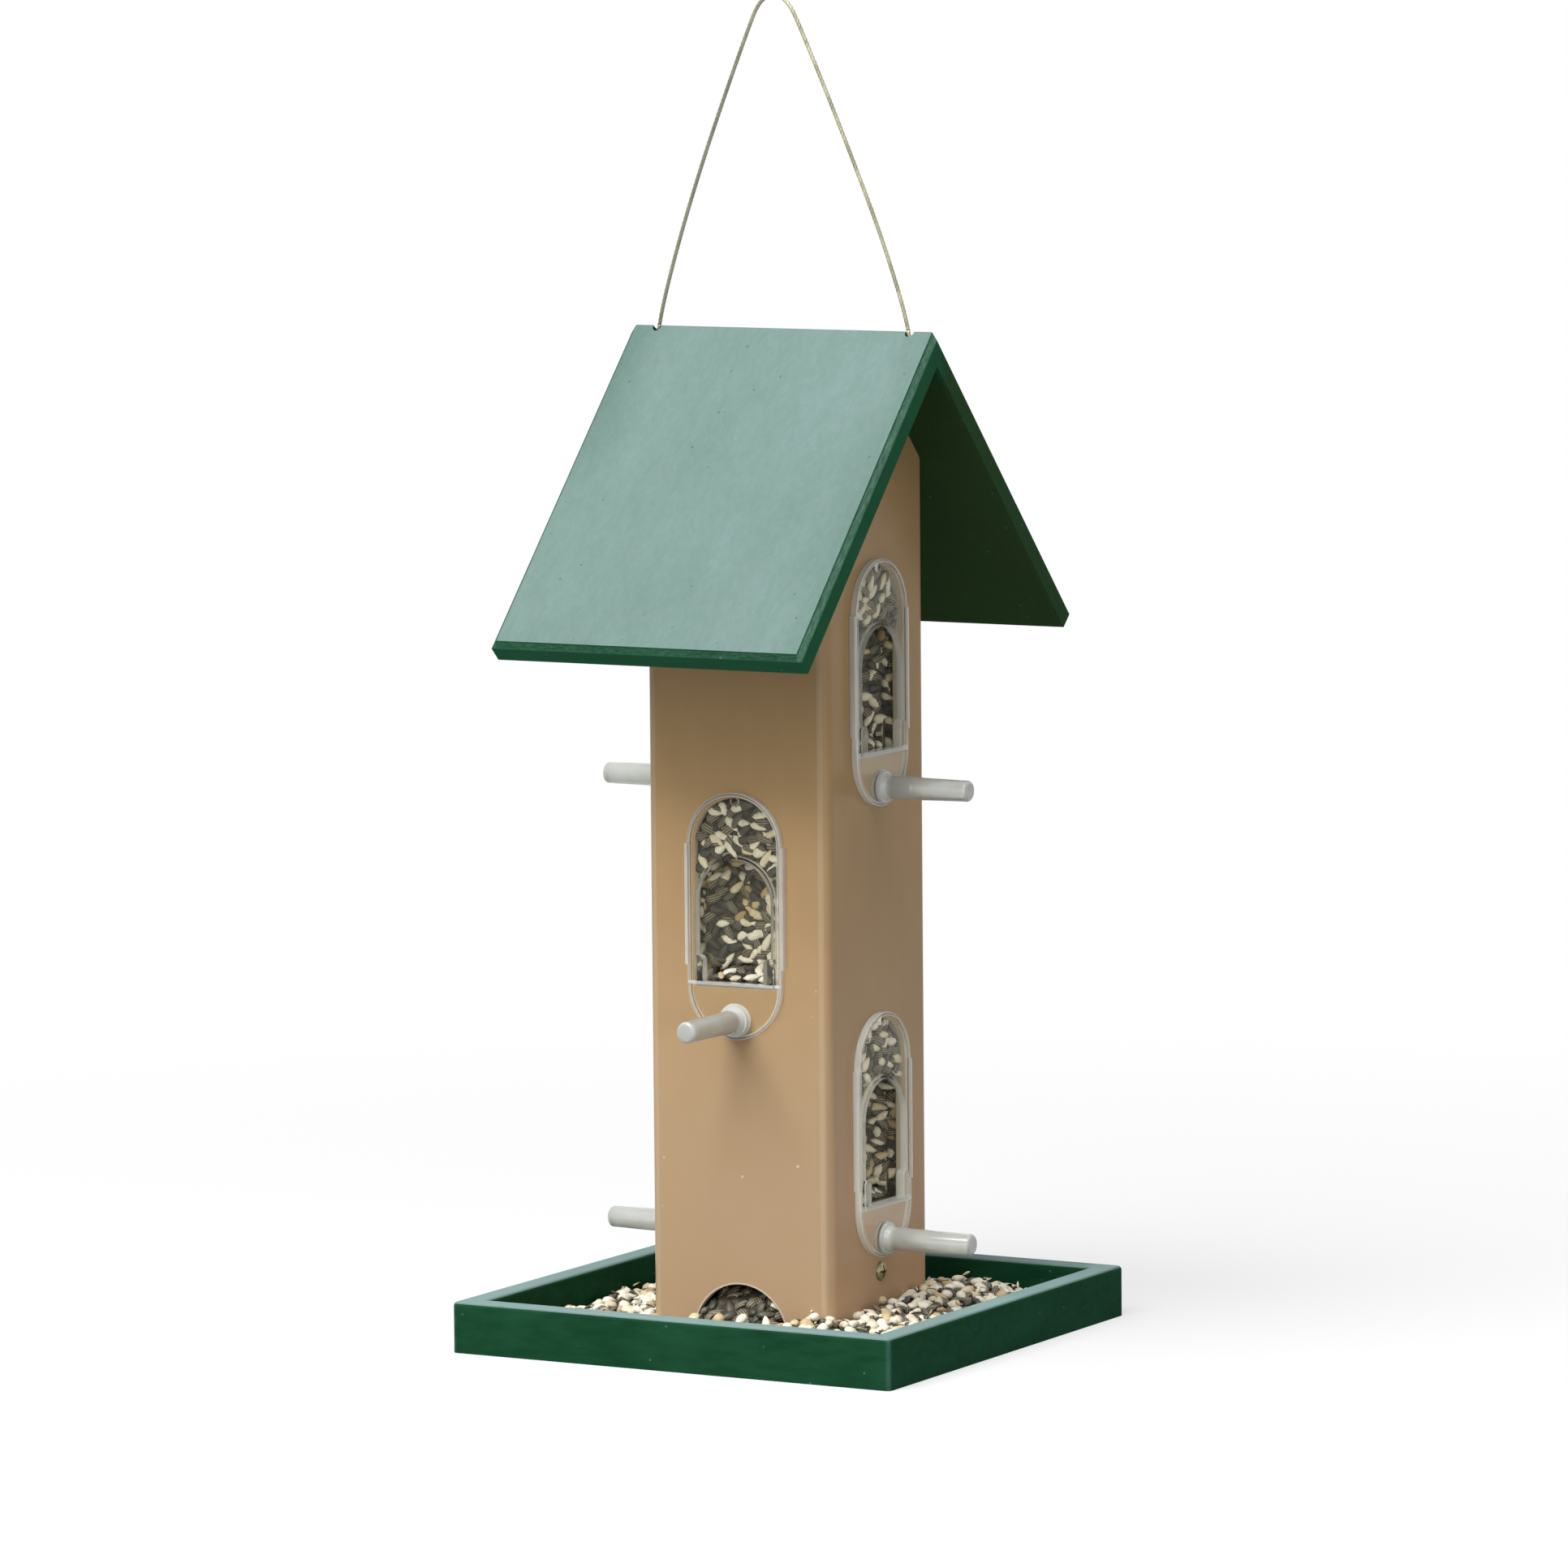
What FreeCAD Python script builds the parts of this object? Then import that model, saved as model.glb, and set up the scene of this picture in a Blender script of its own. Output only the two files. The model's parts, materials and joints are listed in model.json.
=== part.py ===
import FreeCAD, Part
import math
import os

from FreeCAD import Vector

# Silo bird feeder: square tower with a lift-up gable roof, six clear seed ports and a seed tray.
# Millimetres, +Z up. The origin is the centre of the tray's underside.
# The ridge runs along X: the gables face +X and -X, the eaves face -Y (front) and +Y (rear).

# Tower: a length of square post sleeve
tower_side = 101.6
tower_wall = 3.4
tower_corner = 6.0
arch_radius = 26.0

# Tray
tray_width = 245.0
rim_height = 25.4
rim_thick = 12.7
rim_corner_round = 2.4
rim_top_round = 2.2
floor_thick = 6.35
floor_rebate = 6.35
floor_gap = 0.2
drain_radius = 3.0
drain_inset = 14.0

# Roof
ridge_height = 500.0
roof_length = 172.0
roof_slope = 203.2
roof_thick = 11.5
roof_pitch = 46.5
roof_chamfer = 2.8
roof_seat_gap = 0.1
cable_hole_radius = 2.4
cable_hole_x = 71.0

# Seed port, measured from its lower end and from the tower's face
port_height = 122.0
port_radius = 26.25
port_proud = 3.7
port_pane = 1.6
port_edge = 1.8
port_edge_round = 0.6
rail_width = 1.5
rail_bottom = 36.0
port_lap = 3.0
cutout_gap = 0.7
alcove_radius = 21.0
alcove_wall = 1.6
alcove_top = 89.0
alcove_side_depth = 6.0
alcove_bulge = 8.0
ledge_top = 28.0
ledge_thick = 2.0
ledge_nose = 1.5
slot_height = 9.0
cheek_width = 4.0
cheek_height = 13.0
cheek_depth = 6.0
cheek_nose = 0.9
stud_radius = 2.2
stud_drop = 4.6
lug_width = 0.9
lug_height = 7.0
lug_length = 2.6
lug_gap = 0.2
front_port_bottom = 154.0
upper_port_bottom = 266.5
lower_port_bottom = 42.5

# Perch
perch_rise = 9.5
perch_length = 48.3
perch_base_radius = 5.8
perch_tip_radius = 5.3
perch_tip_round = 1.8
collar_radius = 7.8
collar_thick = 1.6
neck_radius = 6.8
neck_thick = 2.6
perch_bore_depth = 16.0

# Seed wedge inside the foot of the tower
wedge_slope = 38.0
wedge_toe = 1.5
wedge_top_width = 4.0
wedge_gap = 0.2

# Screws
perch_screw_radius = 1.75
perch_screw_head = 3.8
perch_screw_head_height = 2.4
perch_screw_bite = 12.0
wedge_screw_radius = 2.0
wedge_screw_head = 4.9
wedge_screw_head_height = 2.3
wedge_screw_length = 24.0
wedge_screw_rise = 35.2
floor_screw_radius = 2.0
floor_screw_head = 3.8
floor_screw_length = 18.0
floor_screw_x = 28.0
floor_screw_y = 20.0
rim_screw_radius = 1.3
rim_screw_head = 2.5
rim_screw_length = 18.0
rim_screw_spread = 64.0
ridge_screw_radius = 1.75
ridge_screw_head = 3.4
ridge_screw_length = 38.0
ridge_screw_spread = 54.0
screw_clearance = 0.3
drive_width = 0.9
drive_depth = 1.3
drive_share = 0.62
sunk_drive_share = 0.5

# Hanging cable
cable_radius = 1.0
cable_hole_clearance = 0.5
ferrule_radius = 2.6
ferrule_length = 9.0
cable_drop = 45.0
cable_tail = 1.0
cable_arc_share = 0.45

# Worked-out sizes
half_tower = tower_side / 2
inner_half = half_tower - tower_wall
half_tray = tray_width / 2
pitch = math.radians(roof_pitch)
roof_drop = roof_thick / math.cos(pitch)
under_ridge = ridge_height - roof_drop
cable_height = ridge_height - cable_drop
port_spring = port_height - port_radius
alcove_spring = alcove_top - alcove_radius
pane_back = port_proud - port_pane
wedge_half = half_tower - tower_corner - wedge_gap
wedge_rise = (wedge_half - wedge_top_width / 2) * math.tan(math.radians(wedge_slope))
wedge_top = floor_thick + wedge_toe + wedge_rise

# How far cutting bodies run past a piece, and how near two places count as the same
overrun = 20.0
same = 1e-3

X = Vector(1, 0, 0)
Y = Vector(0, 1, 0)
Z = Vector(0, 0, 1)

# Which wall each port stands on, as a turn about Z from the front wall, and how high
port_places = {
    "front": (0, front_port_bottom),
    "rear": (180, front_port_bottom),
    "right_upper": (90, upper_port_bottom),
    "right_lower": (90, lower_port_bottom),
    "left_upper": (-90, upper_port_bottom),
    "left_lower": (-90, lower_port_bottom),
}

# The cable's route in the plane of the ridge, as (x, height above the ridge), from gable to gable
cable_end_x = inner_half - ferrule_length - cable_tail
cable_route = [
    (-cable_end_x, -cable_drop),
    (-57.5, -cable_drop),
    (-66.5, -38.8),
    (-70.6, -28.5),
    (-71.6, -15.0),
    (-70.0, 3.0),
    (-58.8, 41.0),
    (-45.0, 80.0),
    (-31.4, 114.4),
    (-19.2, 143.9),
    (-11.9, 160.3),
    (-3.6, 163.7),
    (4.8, 160.3),
    (12.7, 144.1),
    (26.0, 115.0),
    (40.9, 81.0),
    (56.8, 43.0),
    (70.3, 3.0),
    (71.8, -15.0),
    (70.6, -28.5),
    (66.5, -38.8),
    (57.5, -cable_drop),
    (cable_end_x, -cable_drop),
]


def polygon_face(points):
    """A flat face through the points."""
    return Part.Face(Part.makePolygon(list(points) + [points[0]]))


def wall_face(edges):
    """A flat face inside joined edges."""
    return Part.Face(Part.Wire(Part.__sortEdges__(edges)))


def line(a, b):
    return Part.LineSegment(a, b).toShape()


def arc(a, through, b):
    return Part.Arc(a, through, b).toShape()


def on_wall(u, v, w=0.0):
    """A point of the front wall: u to the right, v up from the port's lower end, w out of the face."""
    return Vector(u, -half_tower - w, v)


def extrude_out(face, depth):
    """Extrudes a face of the front wall away from the tower."""
    return face.extrude(Vector(0, -depth, 0))


def arch_face(radius, bottom, spring, w):
    """An arch on the front wall: flat below, straight sides, half round above."""
    left_foot = on_wall(-radius, bottom, w)
    right_foot = on_wall(radius, bottom, w)
    left_spring = on_wall(-radius, spring, w)
    right_spring = on_wall(radius, spring, w)
    return wall_face([
        line(left_foot, right_foot),
        line(right_foot, right_spring),
        arc(right_spring, on_wall(0, spring + radius, w), left_spring),
        line(left_spring, left_foot),
    ])


def stadium_face(radius, bottom, top, w):
    """A stadium on the front wall: half round below and above."""
    left_low = on_wall(-radius, bottom + radius, w)
    right_low = on_wall(radius, bottom + radius, w)
    left_high = on_wall(-radius, top - radius, w)
    right_high = on_wall(radius, top - radius, w)
    return wall_face([
        arc(left_low, on_wall(0, bottom, w), right_low),
        line(right_low, right_high),
        arc(right_high, on_wall(0, top, w), left_high),
        line(left_high, left_low),
    ])


def wall_box(u_low, u_high, v_low, v_high, w_low, w_high):
    """A box on the front wall."""
    return Part.makeBox(u_high - u_low, w_high - w_low, v_high - v_low, on_wall(u_low, v_low, w_high))


def wall_cylinder(radius, v, w_low, w_high):
    """A round bar square to the front wall, on its centre line."""
    return Part.makeCylinder(radius, w_high - w_low, on_wall(0, v, w_low), Vector(0, -1, 0))


def place_port_piece(shape, name):
    """Turns a piece made on the front wall to its own wall and height."""
    turn, bottom = port_places[name]
    placed = shape.copy()
    placed.translate(Vector(0, 0, bottom))
    placed.rotate(Vector(0, 0, 0), Z, turn)
    return placed


def rounded_square(half, radius, low, high):
    """A square bar along Z with round corners."""
    bar = Part.makeBox(2 * half, 2 * half, high - low, Vector(-half, -half, low))
    if radius <= 0:
        return bar
    corners = [edge for edge in bar.Edges if edge.BoundBox.ZLength > (high - low) / 2]
    return bar.makeFillet(radius, corners)


def under_roof():
    """The space below the roof's underside, as long as the roof, down to the ground."""
    top = under_ridge - roof_seat_gap
    reach = half_tray
    drop = reach * math.tan(pitch)
    face = polygon_face([
        Vector(-roof_length / 2, -reach, 0),
        Vector(-roof_length / 2, reach, 0),
        Vector(-roof_length / 2, reach, top - drop),
        Vector(-roof_length / 2, 0, top),
        Vector(-roof_length / 2, -reach, top - drop),
    ])
    return face.extrude(X * roof_length)


def make_tower():
    """The post sleeve: gable-cut top, port cut-outs, feed arches at the foot and screw and cable holes."""
    outer = rounded_square(half_tower, tower_corner, floor_thick, ridge_height)
    inner = rounded_square(inner_half, tower_corner - tower_wall, floor_thick, ridge_height)
    tube = outer.cut(inner).common(under_roof())
    arch = Part.makeCylinder(arch_radius, tower_side, Vector(0, -half_tower, floor_thick), Y)
    cuts = [arch]
    cut_radius = port_radius - port_lap
    cutout = extrude_out(
        arch_face(cut_radius, ledge_top - ledge_thick - cutout_gap, port_spring, -2 * tower_wall),
        3 * tower_wall,
    )
    perch_hole = wall_cylinder(perch_screw_radius + screw_clearance, perch_rise, -2 * tower_wall, tower_wall)
    for name in port_places:
        cuts.append(place_port_piece(cutout, name))
        cuts.append(place_port_piece(perch_hole, name))
    cuts.append(Part.makeCylinder(
        wedge_screw_radius + screw_clearance, tower_side, Vector(-half_tower, 0, wedge_screw_rise), X))
    cuts.append(Part.makeCylinder(
        cable_radius + cable_hole_clearance, tower_side, Vector(-half_tower, 0, cable_height), X))
    return tube.cut(cuts)


def make_port():
    """The clear moulded port: a rimmed pane with an arched alcove, its ledge, cheeks and snap lugs."""
    pan = extrude_out(stadium_face(port_radius, 0, port_height, 0), port_proud)
    front = [edge for edge in pan.Edges if abs(edge.BoundBox.YMax + half_tower + port_proud) < same]
    front = [edge for edge in front if edge.BoundBox.YLength < same]
    pan = pan.makeFillet(port_edge_round, front)
    rail_half = port_radius + rail_width
    rails = wall_box(-rail_half, rail_half, rail_bottom, port_spring, 0, port_proud)
    rails = rails.makeFillet(port_edge_round, [
        edge for edge in rails.Edges
        if edge.BoundBox.ZLength > (port_spring - rail_bottom) / 2
        and abs(edge.BoundBox.YMax + half_tower + port_proud) < same
    ])
    hollow = stadium_face(port_radius - port_edge, port_edge, port_height - port_edge, -overrun)
    hollow = extrude_out(hollow, overrun + pane_back)

    # The alcove's back is a cylinder standing upright, so that it bulges into the hopper
    outer_radius = alcove_radius + alcove_wall
    bulge_radius = (outer_radius ** 2 + alcove_bulge ** 2) / (2 * alcove_bulge)
    bulge_axis = bulge_radius - alcove_bulge - alcove_side_depth
    axis_foot = on_wall(0, -overrun, bulge_axis)
    bulge_height = port_height + 2 * overrun
    shell = arch_face(outer_radius, ledge_top - ledge_thick, alcove_spring, -3 * overrun)
    shell = extrude_out(shell, 3 * overrun + port_proud)
    shell = shell.common(Part.makeCylinder(bulge_radius, bulge_height, axis_foot, Z))
    room = extrude_out(arch_face(alcove_radius, ledge_top, alcove_spring, -3 * overrun), 4 * overrun)
    room = room.common(Part.makeCylinder(bulge_radius - alcove_wall, bulge_height, axis_foot, Z))
    slot_half = alcove_radius - cheek_width
    slot = wall_box(-slot_half, slot_half, ledge_top, ledge_top + slot_height, -3 * overrun, port_proud)

    # The ledge runs a little past the pane, and a round-topped cheek stands at each of its ends
    nose = port_proud + ledge_nose
    ledge = wall_box(-outer_radius, outer_radius, ledge_top - ledge_thick, ledge_top, pane_back, nose)
    cheeks = []
    for side in (-1, 1):
        near = alcove_radius - cheek_width
        middle = (near + outer_radius) / 2
        half = (outer_radius - near) / 2
        cheek = arch_face(half, ledge_top, ledge_top + cheek_height - half, -cheek_depth)
        cheek = extrude_out(cheek, cheek_depth + port_proud + cheek_nose)
        cheek.translate(X * side * middle)
        cheeks.append(cheek)

    # Lugs behind the tower's wall hold the port in its cut-out
    lugs = []
    for side in (-1, 1):
        far = port_radius - port_lap + lug_width
        low = min(side * (outer_radius - alcove_wall), side * far)
        high = max(side * (outer_radius - alcove_wall), side * far)
        back = -tower_wall - lug_gap
        deep = max(back - lug_length, -alcove_side_depth)
        lugs.append(wall_box(low, high, alcove_spring - lug_height, alcove_spring, deep, back))

    boss = wall_cylinder(collar_radius, perch_rise, 0, pane_back)
    stud = wall_cylinder(stud_radius, port_height - stud_drop, screw_clearance, pane_back)
    hole = wall_cylinder(perch_screw_radius + screw_clearance, perch_rise, -overrun, overrun)
    body = pan.fuse([rails]).cut(hollow)
    body = body.fuse([shell, boss, stud] + lugs).cut(room).cut(slot)
    return body.fuse([ledge] + cheeks).cut(hole).removeSplitter()


def make_perch():
    """The frosted perch peg: collar, neck, tapered bar with a rounded tip, and the bore for its screw."""
    face_out = port_proud
    collar_out = face_out + collar_thick
    neck_out = collar_out + neck_thick
    tip_out = face_out + perch_length
    tip_round_in = tip_out - perch_tip_round
    bore_end = face_out + perch_bore_depth

    def at(radius, w):
        return on_wall(radius, perch_rise, w)

    slant = perch_tip_round * (1 - math.sqrt(0.5))
    section = wall_face([
        line(at(perch_screw_radius, face_out), at(collar_radius, face_out)),
        line(at(collar_radius, face_out), at(collar_radius, collar_out)),
        line(at(collar_radius, collar_out), at(neck_radius, collar_out)),
        line(at(neck_radius, collar_out), at(perch_base_radius, neck_out)),
        line(at(perch_base_radius, neck_out), at(perch_tip_radius, tip_round_in)),
        arc(at(perch_tip_radius, tip_round_in),
            at(perch_tip_radius - slant, tip_out - slant),
            at(perch_tip_radius - perch_tip_round, tip_out)),
        line(at(perch_tip_radius - perch_tip_round, tip_out), at(0, tip_out)),
        line(at(0, tip_out), at(0, bore_end)),
        line(at(0, bore_end), at(perch_screw_radius, bore_end)),
        line(at(perch_screw_radius, bore_end), at(perch_screw_radius, face_out)),
    ])
    return section.revolve(on_wall(0, perch_rise), Y, 360)


def cross_drive(span):
    """A cross recess at the origin, cut down along -Z."""
    bars = []
    for long_x, long_y in ((span, drive_width), (drive_width, span)):
        bars.append(Part.makeBox(
            long_x, long_y, 2 * drive_depth, Vector(-long_x / 2, -long_y / 2, -drive_depth)))
    return bars[0].fuse(bars[1])


def domed_screw(radius, head_radius, head_height, length):
    """A round-headed screw along Z: the head's underside is at z = 0 and the shank goes down."""
    dome_radius = (head_radius ** 2 + head_height ** 2) / (2 * head_height)
    dome = Part.makeSphere(dome_radius, Vector(0, 0, head_height - dome_radius))
    head = Part.makeCylinder(head_radius, head_height).common(dome)
    recess = cross_drive(2 * head_radius * drive_share)
    recess.translate(Z * head_height)
    shank = Part.makeCylinder(radius, length, Vector(0, 0, -length), Z)
    return head.cut(recess).fuse(shank).removeSplitter()


def sunk_screw(radius, head_radius, length):
    """A countersunk screw along Z: the head is flush with z = 0 and the shank goes down."""
    depth = head_radius - radius
    head = Part.makeCone(radius, head_radius, depth, Vector(0, 0, -depth), Z)
    shank = Part.makeCylinder(radius, length - depth, Vector(0, 0, -length), Z)
    recess = cross_drive(2 * head_radius * sunk_drive_share)
    return head.fuse(shank).cut(recess).removeSplitter()


def sunk_hole(radius, head_radius, depth):
    """What a countersunk screw takes out of the first piece that it goes through."""
    sink = head_radius - radius
    cone = Part.makeCone(radius, head_radius, sink, Vector(0, 0, -sink), Z)
    return cone.fuse(Part.makeCylinder(radius, depth, Vector(0, 0, -depth), Z))


def aim(shape, point, direction):
    """Turns a piece made along +Z to point the other way and moves it to a point."""
    placed = shape.copy()
    placed.Placement = FreeCAD.Placement(point, FreeCAD.Rotation(Z, direction))
    return placed


def floor_screw_points():
    return [Vector(x, y, 0) for x in (-floor_screw_x, floor_screw_x) for y in (-floor_screw_y, floor_screw_y)]


def rim_screw_points():
    """Two points under each rim, on the middle of the strip where the floor lies under it."""
    off = half_tray - rim_thick + floor_rebate / 2 - floor_gap / 2
    spread = (-rim_screw_spread, rim_screw_spread)
    along_x = [Vector(x, y, 0) for x in spread for y in (-off, off)]
    along_y = [Vector(x, y, 0) for x in (-off, off) for y in spread]
    return along_x + along_y


def make_wedge():
    """The solid wedge under the seed: its slopes lead to the two arches."""
    half_long = inner_half - wedge_gap
    half_flat = wedge_top_width / 2
    section = polygon_face([
        Vector(-half_long, -wedge_half, floor_thick),
        Vector(-half_long, wedge_half, floor_thick),
        Vector(-half_long, wedge_half, floor_thick + wedge_toe),
        Vector(-half_long, half_flat, wedge_top),
        Vector(-half_long, -half_flat, wedge_top),
        Vector(-half_long, -wedge_half, floor_thick + wedge_toe),
    ])
    wedge = section.extrude(X * 2 * half_long)
    holes = []
    for point in floor_screw_points():
        holes.append(Part.makeCylinder(floor_screw_radius, floor_screw_length, point, Z))
    for side in (-1, 1):
        start = Vector(side * half_tower, 0, wedge_screw_rise)
        holes.append(Part.makeCylinder(wedge_screw_radius, wedge_screw_length, start, X * -side))
    return wedge.cut(holes)


def make_floor():
    """The tray's floor board, let into the rims from below, with a drain hole near each corner."""
    half = half_tray - rim_thick + floor_rebate - floor_gap
    board = Part.makeBox(2 * half, 2 * half, floor_thick, Vector(-half, -half, 0))
    holes = []
    drain = half_tray - rim_thick - drain_inset
    for x in (-drain, drain):
        for y in (-drain, drain):
            holes.append(Part.makeCylinder(drain_radius, floor_thick, Vector(x, y, 0), Z))
    down = Vector(0, 0, -1)
    floor_hole = sunk_hole(floor_screw_radius, floor_screw_head, floor_thick)
    rim_hole = sunk_hole(rim_screw_radius, rim_screw_head, floor_thick)
    holes += [aim(floor_hole, point, down) for point in floor_screw_points()]
    holes += [aim(rim_hole, point, down) for point in rim_screw_points()]
    return board.cut(holes)


def make_rims():
    """The four rim boards: rounded edges, a rebate for the floor, mitred at the corners."""
    inner = half_tray - rim_thick
    rebate = inner + floor_rebate
    frame = rounded_square(half_tray, rim_corner_round, 0, rim_height)
    frame = frame.cut(rounded_square(inner, 0, 0, rim_height))
    top_edges = [edge for edge in frame.Edges if edge.BoundBox.ZMin > rim_height - same]
    frame = frame.makeFillet(rim_top_round, top_edges)
    holes = [rounded_square(rebate, 0, 0, floor_thick)]
    holes += [Part.makeCylinder(rim_screw_radius, rim_screw_length, point, Z) for point in rim_screw_points()]
    frame = frame.cut(holes)
    reach = tray_width
    corner = polygon_face([Vector(0, 0, 0), Vector(-reach, -reach, 0), Vector(reach, -reach, 0)])
    sector = corner.extrude(Z * rim_height)
    rims = {}
    for name, turn in (("front", 0), ("right", 90), ("rear", 180), ("left", -90)):
        slice_of = sector.copy()
        slice_of.rotate(Vector(0, 0, 0), Z, turn)
        rims[name] = frame.common(slice_of)
    return rims


def roof_point(side, along, depth):
    """A point of a roof board's section: along the slope from the ridge and in from the upper face."""
    y = side * (along * math.cos(pitch) - depth * math.sin(pitch))
    z = ridge_height - along * math.sin(pitch) - depth * math.cos(pitch)
    return Vector(-roof_length / 2, y, z)


def ridge_screw_line():
    """Where a ridge screw enters the rear board to cross the middle of the mitre, and its way out."""
    enter = roof_drop / 2 * math.sin(pitch)
    start = roof_point(1, enter, 0)
    return Vector(0, start.y, start.z), Vector(0, math.sin(pitch), math.cos(pitch))


def ridge_screws_placed(shape):
    point, outward = ridge_screw_line()
    return [aim(shape, point + X * x, outward) for x in (-ridge_screw_spread, 0, ridge_screw_spread)]


def make_roof_board(side):
    """One roof board: mitred at the ridge, chamfered round its other upper edges, half of each cable hole."""
    inner_ridge = Vector(-roof_length / 2, 0, under_ridge)
    section = polygon_face([
        roof_point(side, 0, 0),
        roof_point(side, roof_slope, 0),
        roof_point(side, roof_slope, roof_thick),
        inner_ridge,
    ])
    board = section.extrude(X * roof_length)
    eave = roof_point(side, roof_slope, 0)
    upper_edges = []
    for edge in board.Edges:
        box = edge.BoundBox
        at_eave = box.XLength > 1 and abs(box.Center.y - eave.y) < same and abs(box.Center.z - eave.z) < same
        at_ridge = abs(box.ZMax - ridge_height) < same
        at_gable = box.XLength < same and at_ridge and box.YLength > abs(eave.y) / 2
        if at_eave or at_gable:
            upper_edges.append(edge)
    board = board.makeChamfer(roof_chamfer, upper_edges)
    holes = []
    for x in (-cable_hole_x, cable_hole_x):
        foot = Vector(x, 0, under_ridge - roof_drop / 2)
        holes.append(Part.makeCylinder(cable_hole_radius, 2 * roof_drop, foot, Z))
    holes += ridge_screws_placed(sunk_hole(ridge_screw_radius, ridge_screw_head, ridge_screw_length))
    return board.cut(holes)


def make_cable():
    """The cable as a tube: straight runs joined by arcs as large as the runs allow."""
    points = [Vector(x, 0, ridge_height + rise) for x, rise in cable_route]
    edges = []
    radii = []
    last = points[0]
    for before, corner, after in zip(points, points[1:], points[2:]):
        back = before - corner
        ahead = after - corner
        turn = math.pi - back.getAngle(ahead)
        trim = cable_arc_share * min(back.Length, ahead.Length)
        radius = trim / math.tan(turn / 2)
        start = corner + back.normalize() * trim
        end = corner + ahead.normalize() * trim
        inward = (back + ahead).normalize()
        middle = corner + inward * radius * (1 / math.cos(turn / 2) - 1)
        edges.append(line(last, start))
        edges.append(arc(start, middle, end))
        radii.append(radius)
        last = end
    edges.append(line(last, points[-1]))
    path = Part.Wire(edges)
    ring = Part.Wire(Part.makeCircle(cable_radius, points[0], points[1] - points[0]))
    tube = path.makePipeShell([ring], True, False)
    expected = math.pi * cable_radius ** 2 * path.Length
    print("cable length %.1f, volume %.1f of %.1f" % (path.Length, tube.Volume, expected))
    print("cable bend radii", [round(radius, 1) for radius in radii])
    return tube


def make_ferrules():
    """The crimped sleeves on the cable's ends, inside the gables."""
    sleeves = []
    for side in (-1, 1):
        start = Vector(side * inner_half, 0, cable_height)
        sleeve = Part.makeCylinder(ferrule_radius, ferrule_length, start, X * -side)
        bore = Part.makeCylinder(cable_radius, ferrule_length, start, X * -side)
        sleeves.append(sleeve.cut(bore))
    return Part.makeCompound(sleeves)


def make_perch_screws():
    length = tower_wall + port_proud + perch_screw_bite
    screw = domed_screw(perch_screw_radius, perch_screw_head, perch_screw_head_height, length)
    screw = aim(screw, on_wall(0, perch_rise, -tower_wall), Y)
    return Part.makeCompound([place_port_piece(screw, name) for name in port_places])


def make_wedge_screws():
    screw = domed_screw(wedge_screw_radius, wedge_screw_head, wedge_screw_head_height, wedge_screw_length)
    return Part.makeCompound([
        aim(screw, Vector(side * half_tower, 0, wedge_screw_rise), X * side) for side in (-1, 1)])


def make_nodes():
    nodes = {"tower_tube": make_tower()}
    port = make_port()
    perch = make_perch()
    for name in port_places:
        nodes["port_" + name] = place_port_piece(port, name)
        nodes["perch_" + name] = place_port_piece(perch, name)
    nodes["perch_screws"] = make_perch_screws()
    nodes["seed_wedge"] = make_wedge()
    nodes["wedge_screws"] = make_wedge_screws()
    nodes["tray_floor"] = make_floor()
    for name, rim in make_rims().items():
        nodes["tray_rim_" + name] = rim
    down = Vector(0, 0, -1)
    floor_screw = sunk_screw(floor_screw_radius, floor_screw_head, floor_screw_length)
    rim_screw = sunk_screw(rim_screw_radius, rim_screw_head, rim_screw_length)
    nodes["floor_screws"] = Part.makeCompound(
        [aim(floor_screw, point, down) for point in floor_screw_points()])
    nodes["rim_screws"] = Part.makeCompound(
        [aim(rim_screw, point, down) for point in rim_screw_points()])
    nodes["hanging_cable"] = make_cable()
    nodes["cable_ferrules"] = make_ferrules()
    nodes["roof_panel_front"] = make_roof_board(-1)
    nodes["roof_panel_rear"] = make_roof_board(1)
    ridge_screw = sunk_screw(ridge_screw_radius, ridge_screw_head, ridge_screw_length)
    nodes["ridge_screws"] = Part.makeCompound(ridge_screws_placed(ridge_screw))
    return nodes


os.makedirs("parts", exist_ok=True)
for node_name, node_shape in make_nodes().items():
    node_shape.exportStep("parts/" + node_name + ".step")
    print("%s: %d solids, %.0f mm3, valid %s" % (
        node_name, len(node_shape.Solids), node_shape.Volume, node_shape.isValid()))
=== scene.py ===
import json
import math

import bpy
import numpy as np
from mathutils import Matrix, Vector, noise


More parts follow.
